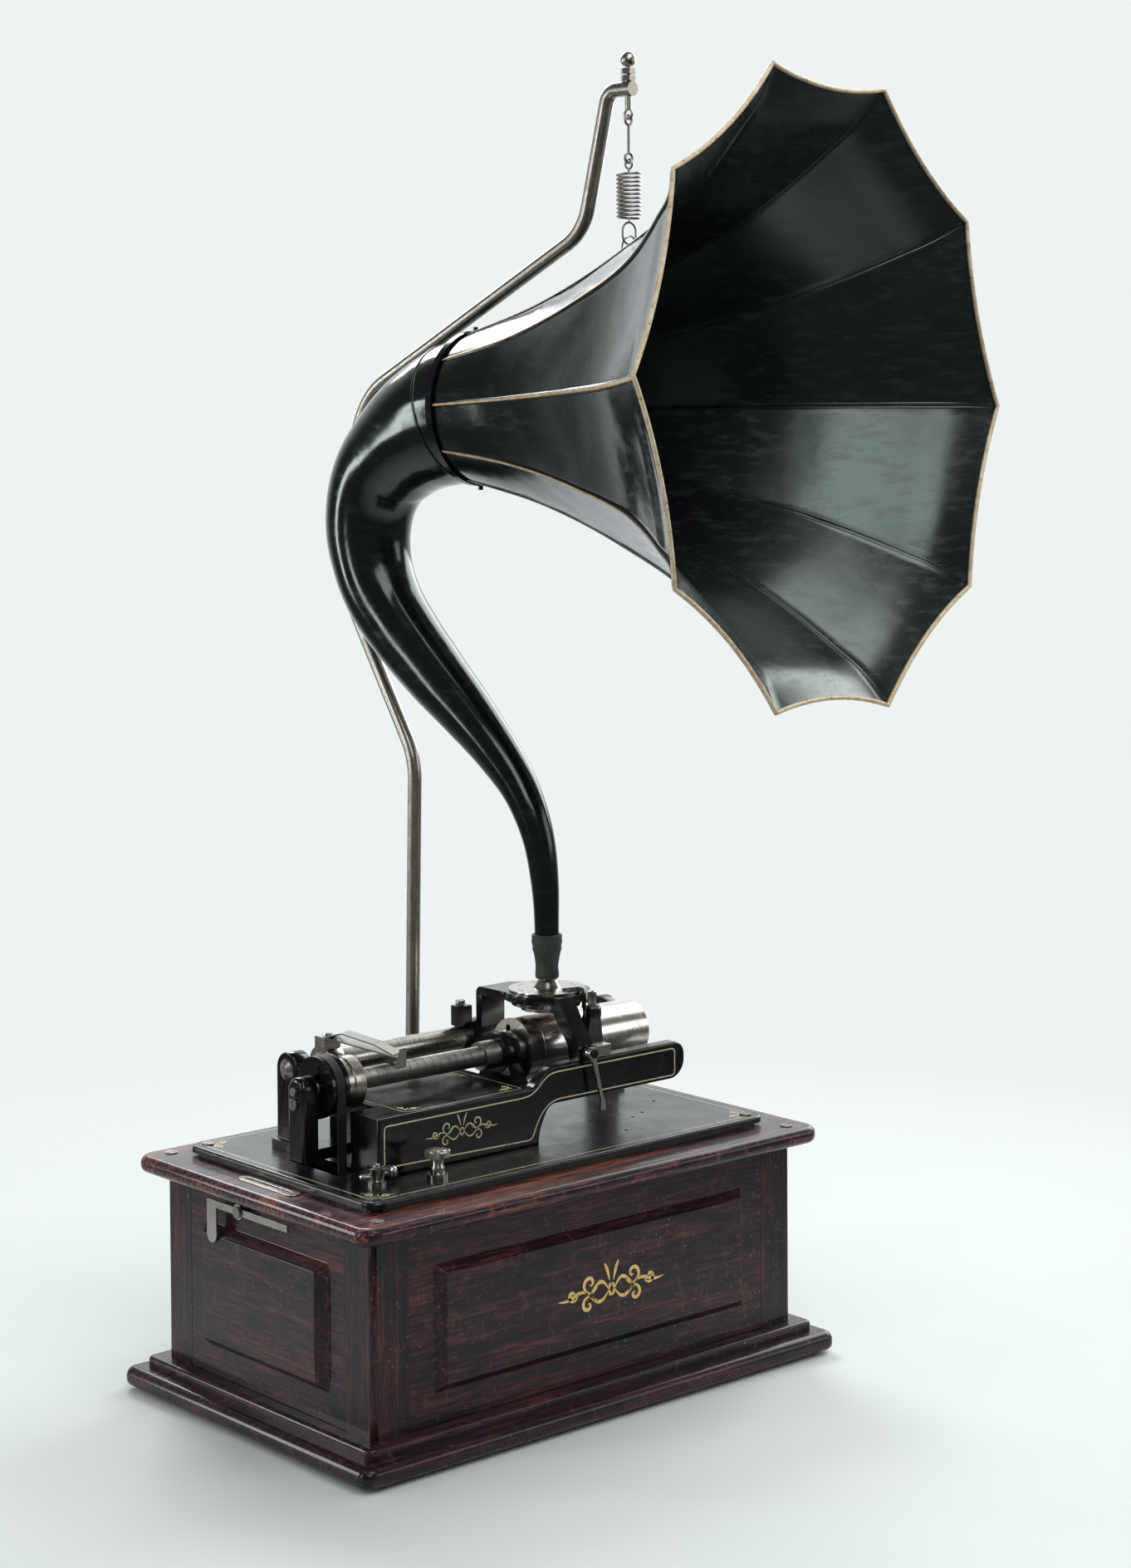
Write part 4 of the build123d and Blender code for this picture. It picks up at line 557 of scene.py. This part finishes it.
def neck_skin(lift):
    """The points of one side of the neck's sheet, with slight dents that die out at the connector."""
    verts = []
    for step in range(NECK_ROWS):
        at = run[-1] * step / (NECK_ROWS - 1)
        centre, first, second = neck_frame(at)
        radius = smooth_line(run, neck_radii, at) + lift
        for k in range(NECK_AROUND):
            angle = 2 * math.pi * k / NECK_AROUND
            outward = first * math.cos(angle) + second * math.sin(angle)
            point = centre + outward * radius
            edge = min(1.0, (NECK_ROWS - 1 - step) / 25)
            dent = noise.noise(point * 24 + Vector((9, 4, 2))) * 0.35 * edge
            verts.append(point + outward * (dent * MM))
    return verts


piece("horn_swan_neck", neck_skin(0.0) + neck_skin(-NECK_SHEET), two_skins(NECK_ROWS, NECK_AROUND),
      ENAMEL, "horn", stands_for=("horn_neck",))


def neck_band(name, at, width, height):
    """A low rounded band round the neck."""
    verts = []
    around = 96
    profile = [(-0.5, -0.3), (-0.42, 0.7), (-0.2, 1.0), (0.2, 1.0), (0.42, 0.7), (0.5, -0.3)]
    for along, up in profile:
        centre, first, second = neck_frame(at + along * width)
        radius = smooth_line(run, neck_radii, at + along * width) + up * height
        for k in range(around):
            angle = 2 * math.pi * k / around
            verts.append(centre + (first * math.cos(angle) + second * math.sin(angle)) * radius)
    piece(name, verts, grid_faces(len(profile), around, True), ENAMEL, "horn")


neck_band("neck_end_bead", at=20.5 * MM, width=2.4 * MM, height=0.7 * MM)

TOOTH_DEPTH = 0.35      # millimetres, on the knurled edges


def lathe(name, profile, place, material, body, axis=2, around=64, teeth=(), stands_for=()):
    """A turned piece: profile is (radius, height) in millimetres from place, along an axis."""
    verts = []
    for radius, height in profile:
        for k in range(around):
            angle = 2 * math.pi * k / around
            r = radius - (TOOTH_DEPTH if k % 2 and radius in teeth else 0.0)
            spot = [r * math.cos(angle), r * math.sin(angle)]
            spot.insert(axis, height)
            verts.append(Vector(place) + Vector(spot) * MM)
    quads = grid_faces(len(profile), around, True)
    quads.append(tuple(reversed(range(around))))
    quads.append(tuple((len(profile) - 1) * around + k for k in range(around)))
    obj = piece(name, verts, quads, material, body, stands_for=stands_for)
    obj.data.set_sharp_from_angle(angle=math.radians(38))
    return obj


# the rubber connector: a stretched sleeve, swollen where the neck pushes into it
connector = [(5.05, 280.4), (7.9, 280.4), (8.6, 281.2), (8.75, 284.0), (8.45, 287.5), (8.35, 290.0),
             (8.9, 293.5), (9.3, 296.2), (9.9, 299.0), (10.7, 301.3), (11.0, 303.0), (10.7, 304.6),
             (11.2, 306.2), (11.45, 308.2), (11.15, 310.0), (11.35, 311.6), (11.1, 312.8), (10.3, 313.2),
             (9.25, 313.2), (9.25, 299.5), (5.05, 294.0), (5.05, 280.4)]
SLEEVE_AROUND = 64
verts = []
for radius, height in connector:
    for k in range(SLEEVE_AROUND):
        angle = 2 * math.pi * k / SLEEVE_AROUND
        r = radius
        if 7.0 < radius and 281 < height < 313:
            r += 0.28 * noise.noise(Vector((math.cos(angle) * 2.2, math.sin(angle) * 2.2, height * 0.22)))
        verts.append(RING + Vector((r * math.cos(angle), r * math.sin(angle), height)) * MM)
piece("rubber_sleeve", verts, grid_faces(len(connector), SLEEVE_AROUND, True), RUBBER, "connector",
      stands_for=("horn_connector",))

# the knurled speed screw and clamp screw
SPEED_SCREW = (-0.109, -0.084)
CLAMP_SCREW = (0.071, -0.040)
lathe("speed_knob", [(0.5, 158), (3.0, 158), (3.0, 179.8), (4.6, 179.8), (4.9, 180.3), (4.9, 184.6),
                     (4.2, 185.5), (4.2, 190.7), (8.2, 191.0), (8.8, 191.5), (8.8, 195.3), (8.2, 195.8),
                     (6.2, 195.9), (5.8, 196.3), (3.0, 196.6), (0.4, 196.6)],
      (*SPEED_SCREW, 0), NICKEL, "speed_screw", around=112, teeth=(8.8, 8.2),
      stands_for=("speed_screw",))
lathe("clamp_knob", [(0.3, 256), (2.5, 256), (2.5, 264.4), (3.0, 264.4), (3.3, 264.9), (3.3, 272.6),
                     (3.0, 273.4), (2.4, 274.1), (1.2, 274.4), (0.3, 274.4)],
      (*CLAMP_SCREW, 0), NICKEL, "clamp", around=72, teeth=(3.3,), stands_for=("clamp_screw",))

# the start lever: a tapered boss with a cross rod, a ball at one end and a stud at the other
BAR_Z = 182.9
START = (-0.149, -0.068)
lathe("start_boss", [(0.5, 158), (3.0, 158), (3.0, 178.9), (4.8, 178.9), (5.3, 182.0), (6.3, 186.2),
                     (7.2, 187.6), (7.2, 188.1), (6.6, 188.4), (2.2, 188.6), (2.2, 190.1), (1.8, 190.5),
                     (0.4, 190.5)],
      (*START, 0), NICKEL, "start_lever", stands_for=("start_lever",))
bar = [(0.3, -14.0), (1.5, -13.8), (2.3, -13.1), (2.5, -12.0), (2.3, -10.9), (1.7, -10.2), (1.6, -6.0),
       (1.6, 8.2), (2.2, 8.8), (3.4, 9.3), (4.3, 10.6), (4.6, 12.4), (4.3, 14.3), (3.4, 15.7), (1.8, 16.5),
       (0.3, 16.6)]
lathe("start_bar", bar, (*START, BAR_Z * MM), NICKEL, "start_lever", axis=0)

soften(("carriage_arm",), 1.3 * MM, 3)
soften(("main_casting", "shaft_yoke", "rod_supports", "mandrel_bearing"), 0.9 * MM, 2)
soften(("corner_posts", "front_board", "rear_board", "left_board", "right_board"), 0.5 * MM, 2, 25.0)
soften(("half_nut_arm", "half_nut", "reproducer_clamps", "lift_lever", "left_latch", "right_latch",
        "slot_plates", "case_screws", "centre_screws", "crank", "reproducer_body"), 0.3 * MM, 2)


# ---------------------------------------------------------------- gilt lines and scrolls
def ribbon(name, lines, normal, material, body, widths, lift):
    """Flat painted lines: each is a list of points on a surface, swelling from its ends to its middle."""
    verts, quads = [], []
    normal = Vector(normal)
    for line in lines:
        base = len(verts)
        total = len(line)
        for index, point in enumerate(line):
            heading = line[min(index + 1, total - 1)] - line[max(index - 1, 0)]
            aside = heading.cross(normal).normalized()
            swell = math.sin(math.pi * index / (total - 1))
            half = (widths[0] + (widths[1] - widths[0]) * swell) / 2 * MM
            for offset, height in ((-half, -0.02), (-half, lift), (half, lift), (half, -0.02)):
                verts.append(point + aside * offset + normal * (height * MM))
        quads += [tuple(base + i for i in face) for face in grid_faces(total, 4, True)]
        quads.append((base, base + 1, base + 2, base + 3))
        quads.append(tuple(base + (total - 1) * 4 + i for i in (3, 2, 1, 0)))
    return piece(name, verts, quads, material, body, smooth=False)


def round_corners(points, radius, steps=5):
    """A closed outline with its corners rounded, in the points' own plane."""
    line = []
    total = len(points)
    for index, corner in enumerate(points):
        before = points[index - 1] - corner
        after = points[(index + 1) % total] - corner
        cut = min(radius, before.length / 2, after.length / 2)
        start = corner + before.normalized() * cut
        stop = corner + after.normalized() * cut
        for step in range(steps + 1):
            t = step / steps
            line.append(start * (1 - t) ** 2 + corner * (2 * t * (1 - t)) + stop * t ** 2)
    line.append(line[0])
    return line


def on_top(x, y, z):
    return Vector((x, y, z)) * MM


CURL_POINTS = 26


def curl(centre, start_r, turns, turn0, mirror=1):
    """A spiral scroll in the plane, as (x, y) pairs in millimetres."""
    line = []
    for step in range(CURL_POINTS):
        t = step / (CURL_POINTS - 1)
        radius = start_r * (1 - t) ** 0.8 + 0.25
        angle = turn0 + mirror * turns * 2 * math.pi * t
        line.append((centre[0] + radius * math.cos(angle), centre[1] + radius * math.sin(angle)))
    return line


BED_TOP = 176.5
bed_corners = ((-176, -101), (176, -101), (176, 105), (-176, 105))
border = round_corners([on_top(x, y, BED_TOP) for x, y in bed_corners], 6 * MM)
ribbon("bedplate_line", [border], (0, 0, 1), GILT, "case", (0.65, 0.65), 0.05)


def corner_scrolls(x, y, z, side_x, side_y, size):
    """Three small scrolls that fill a corner; the sides say which way it opens."""
    lines = []
    for shape in (
        curl((size * 0.9, size * 0.28), size * 0.34, 1.1, math.pi, 1),
        curl((size * 0.28, size * 0.9), size * 0.34, 1.1, -math.pi / 2, -1),
        [(size * (0.1 + 1.5 * t), size * (0.1 + 0.12 * math.sin(math.pi * t)))
         for t in np.linspace(0, 1, 14)],
        [(size * (0.1 + 0.12 * math.sin(math.pi * t)), size * (0.1 + 1.5 * t))
         for t in np.linspace(0, 1, 14)],
        [(size * (0.15 + 0.55 * t), size * (0.15 + 0.55 * t + 0.08 * math.sin(2 * math.pi * t)))
         for t in np.linspace(0, 1, 12)],
    ):
        lines.append([on_top(x + side_x * u, y + side_y * v, z) for u, v in shape])
    return lines


scrolls = []
for x, y, side_x, side_y in ((-172, -97, 1, 1), (172, -97, -1, 1), (172, 101, -1, -1), (-172, 101, 1, -1)):
    scrolls += corner_scrolls(x, y, BED_TOP, side_x, side_y, 11)
ribbon("bedplate_scrolls", scrolls, (0, 0, 1), GILT, "case", (0.2, 0.9), 0.05)

DECK = 217.0
scrolls = []
for x, y, side_x, side_y in ((-110, -50, 1, 1), (-12, -50, -1, 1), (-12, 16, -1, -1), (-110, 16, 1, -1)):
    scrolls += corner_scrolls(x, y, DECK, side_x, side_y, 9)
deck_corners = ((-113, -54), (-8, -54), (-8, 20), (-113, 20))
deck_line = round_corners([on_top(x, y, DECK) for x, y in deck_corners], 4 * MM)
ribbon("deck_scrolls", scrolls, (0, 0, 1), GILT, "case", (0.2, 0.7), 0.05)
ribbon("deck_line", [deck_line], (0, 0, 1), GILT, "case", (0.5, 0.5), 0.05)

FACE_Y = -60.0      # the casting's front face


def on_face(x, z):
    return Vector((x, FACE_Y, z)) * MM


outline = [(-136, 211.7), (-136, 183.4), (-6.5, 180.6), (-3.2, 182.5), (-0.5, 189.0), (4.5, 197.5),
           (11.5, 203.6), (20.0, 206.0), (134.6, 205.8), (134.7, 225.6), (18.0, 225.7), (12.0, 224.6),
           (6.5, 221.0), (0.5, 215.5), (-6.0, 212.2), (-14, 211.7)]
face_line = round_corners([on_face(x, z) for x, z in outline], 3.2 * MM, 3)
ribbon("casting_line", [face_line], (0, -1, 0), GILT, "case", (0.95, 0.95), 0.06)


def flourish(cx, cz, size, surface):
    """A symmetrical flourish of mirrored scrolls round a small lozenge, as lists of points."""
    lines = []
    for mirror in (-1, 1):
        for shape in (
            curl((1.15 * size, 0.42 * size), 0.42 * size, 1.25, math.pi * 1.1, 1),
            curl((1.25 * size, -0.40 * size), 0.36 * size, 1.2, math.pi * 0.95, -1),
            curl((2.05 * size, 0.12 * size), 0.26 * size, 1.1, math.pi, 1),
            [(0.15 * size + 1.0 * size * t, 0.55 * size * math.sin(math.pi * t) * (1 - 0.6 * t))
             for t in np.linspace(0, 1, 20)],
            [(0.15 * size + 1.1 * size * t, -0.5 * size * math.sin(math.pi * t) * (1 - 0.5 * t))
             for t in np.linspace(0, 1, 20)],
            [(1.2 * size + 1.6 * size * t, 0.22 * size * math.sin(math.pi * 1.6 * t) * (1 - t))
             for t in np.linspace(0, 1, 20)],
            [(0.1 * size + 0.28 * size * t,
              0.35 * size + 0.75 * size * t + 0.1 * size * math.sin(math.pi * t))
             for t in np.linspace(0, 1, 12)],
        ):
            lines.append([surface(cx + mirror * u, cz + v) for u, v in shape])
    for k in range(4):
        lines.append([surface(cx + 0.13 * size * math.cos(math.pi / 2 * (k + t)),
                              cz + 0.24 * size * math.sin(math.pi / 2 * (k + t)))
                      for t in (0, 0.34, 0.67, 1)])
    return lines


ribbon("casting_flourish", flourish(-68, 197.5, 11.5, on_face), (0, -1, 0), GILT, "case",
       (0.25, 1.1), 0.06)

PANEL_Y = -128.2      # the face of the front board's field


def on_panel(x, z):
    return Vector((x, PANEL_Y, z)) * MM


ribbon("front_flourish", flourish(10, 86, 17.5, on_panel), (0, -1, 0), LEAF, "case",
       (0.5, 2.6), 0.10)

# ---------------------------------------------------------------- stage, light and camera
# metres from the middle of the case, between which the floor turns into the backdrop
FADE_START, FADE_END = 0.35, 1.05
bpy.ops.mesh.primitive_circle_add(vertices=96, radius=7.0, fill_type="NGON", location=(0, 0, -0.0002))
floor = bpy.context.object
floor.name = "floor"
g = Graph("pale_floor", Roughness=0.6, Specular_IOR_Level=0.1)
g.colour(g.mix(g.remap(g.noise(g.scaled((3, 3, 3))), 0.3, 0.7), (0.72, 0.76, 0.76), (0.75, 0.785, 0.78)))
distance = g.nodes.new("ShaderNodeVectorMath")
distance.operation = "LENGTH"
g.links.new(g.coords, distance.inputs[0])
clear = g.nodes.new("ShaderNodeBsdfTransparent")
blend = g.nodes.new("ShaderNodeMixShader")
g.links.new(g.remap(distance.outputs["Value"], FADE_START, FADE_END), blend.inputs[0])
g.links.new(g.shader.outputs[0], blend.inputs[1])
g.links.new(clear.outputs[0], blend.inputs[2])
g.links.new(blend.outputs[0], g.nodes["Material Output"].inputs["Surface"])
floor.data.materials.append(g.mat)

world = bpy.data.worlds.new("studio")
bpy.context.scene.world = world
world.use_nodes = True
wn, wl = world.node_tree.nodes, world.node_tree.links
seen = wn["Background"]
seen.inputs["Color"].default_value = (0.845, 0.895, 0.885, 1)
seen.inputs["Strength"].default_value = 1.0
around = wn.new("ShaderNodeBackground")
direction = wn.new("ShaderNodeTexCoord")
towards = wn.new("ShaderNodeVectorMath")
towards.operation = "DOT_PRODUCT"
towards.inputs[1].default_value = (0.66, 0.75, 0.0)
wl.new(direction.outputs["Generated"], towards.inputs[0])
fade = wn.new("ShaderNodeMapRange")
fade.interpolation_type = "SMOOTHSTEP"
for key, number in (("From Min", 0.45), ("From Max", 0.96), ("To Min", 0.10), ("To Max", 1.2)):
    fade.inputs[key].default_value = number
wl.new(towards.outputs["Value"], fade.inputs["Value"])
around.inputs["Color"].default_value = (0.86, 0.92, 0.93, 1)
wl.new(fade.outputs["Result"], around.inputs["Strength"])
path = wn.new("ShaderNodeLightPath")
choose = wn.new("ShaderNodeMixShader")
wl.new(path.outputs["Is Camera Ray"], choose.inputs[0])
wl.new(around.outputs[0], choose.inputs[1])
wl.new(seen.outputs[0], choose.inputs[2])
wl.new(choose.outputs[0], wn["World Output"].inputs["Surface"])


def softbox(name, place, aim, size, power, colour):
    data = bpy.data.lights.new(name, "AREA")
    data.shape = "RECTANGLE"
    data.size, data.size_y = size
    data.energy = power
    data.color = colour
    lamp = bpy.data.objects.new(name, data)
    bpy.context.scene.collection.objects.link(lamp)
    lamp.location = place
    lamp.rotation_euler = (Vector(aim) - Vector(place)).to_track_quat("-Z", "Y").to_euler()
    lamp.visible_camera = False


# name, place, aim, width and height in metres, watts and colour
for lamp_row in (
    ("key_left", (-2.2, 0.6, 0.9), (0, 0, 0.5), (0.32, 1.4), 11, (1.0, 0.99, 0.97)),
    ("back_left", (-1.5, 1.6, 0.60), (0, 0.1, 0.6), (0.28, 1.0), 9, (0.97, 0.99, 1.0)),
    ("back_high", (0.85, 2.1, 2.0), (0, 0, 0.4), (1.1, 1.0), 36, (0.97, 0.99, 1.0)),
    ("right_high", (2.1, 0.3, 1.5), (0, -0.1, 0.5), (1.6, 1.6), 36, (0.97, 1.0, 0.99)),
    ("overhead", (0.2, -1.1, 2.4), (0, -0.2, 0.0), (1.3, 1.3), 20, (1.0, 1.0, 1.0)),
    ("front_left", (-1.2, -2.1, 2.1), (0, 0, 0.4), (1.4, 1.2), 20, (0.96, 1.0, 0.98)),
    ("front_right", (1.8, -1.9, 1.0), (0, 0, 0.3), (1.4, 0.9), 8, (1.0, 0.99, 0.97)),
):
    softbox(*lamp_row)

CAMERA_PLACE = (-1.34845, -1.65790, 0.70291)
HEADING, PITCH, ROLL = (math.radians(angle) for angle in (41.21, -1.5, 0.39))
camera_data = bpy.data.cameras.new("camera")
camera_data.sensor_width = 36.0
camera_data.lens = 67.71
camera_data.shift_x = -0.0130
camera_data.shift_y = -0.1919
camera_data.clip_end = 50
camera = bpy.data.objects.new("camera", camera_data)
bpy.context.scene.collection.objects.link(camera)
camera.location = CAMERA_PLACE
look = Vector((math.sin(HEADING) * math.cos(PITCH), math.cos(HEADING) * math.cos(PITCH), math.sin(PITCH)))
right = Vector((math.cos(HEADING), -math.sin(HEADING), 0))
camera.rotation_euler = (Matrix.Rotation(ROLL, 3, look)
                         @ Matrix((right, right.cross(look), -look)).transposed()).to_euler()
bpy.context.scene.camera = camera
bpy.context.scene.view_settings.view_transform = "Standard"
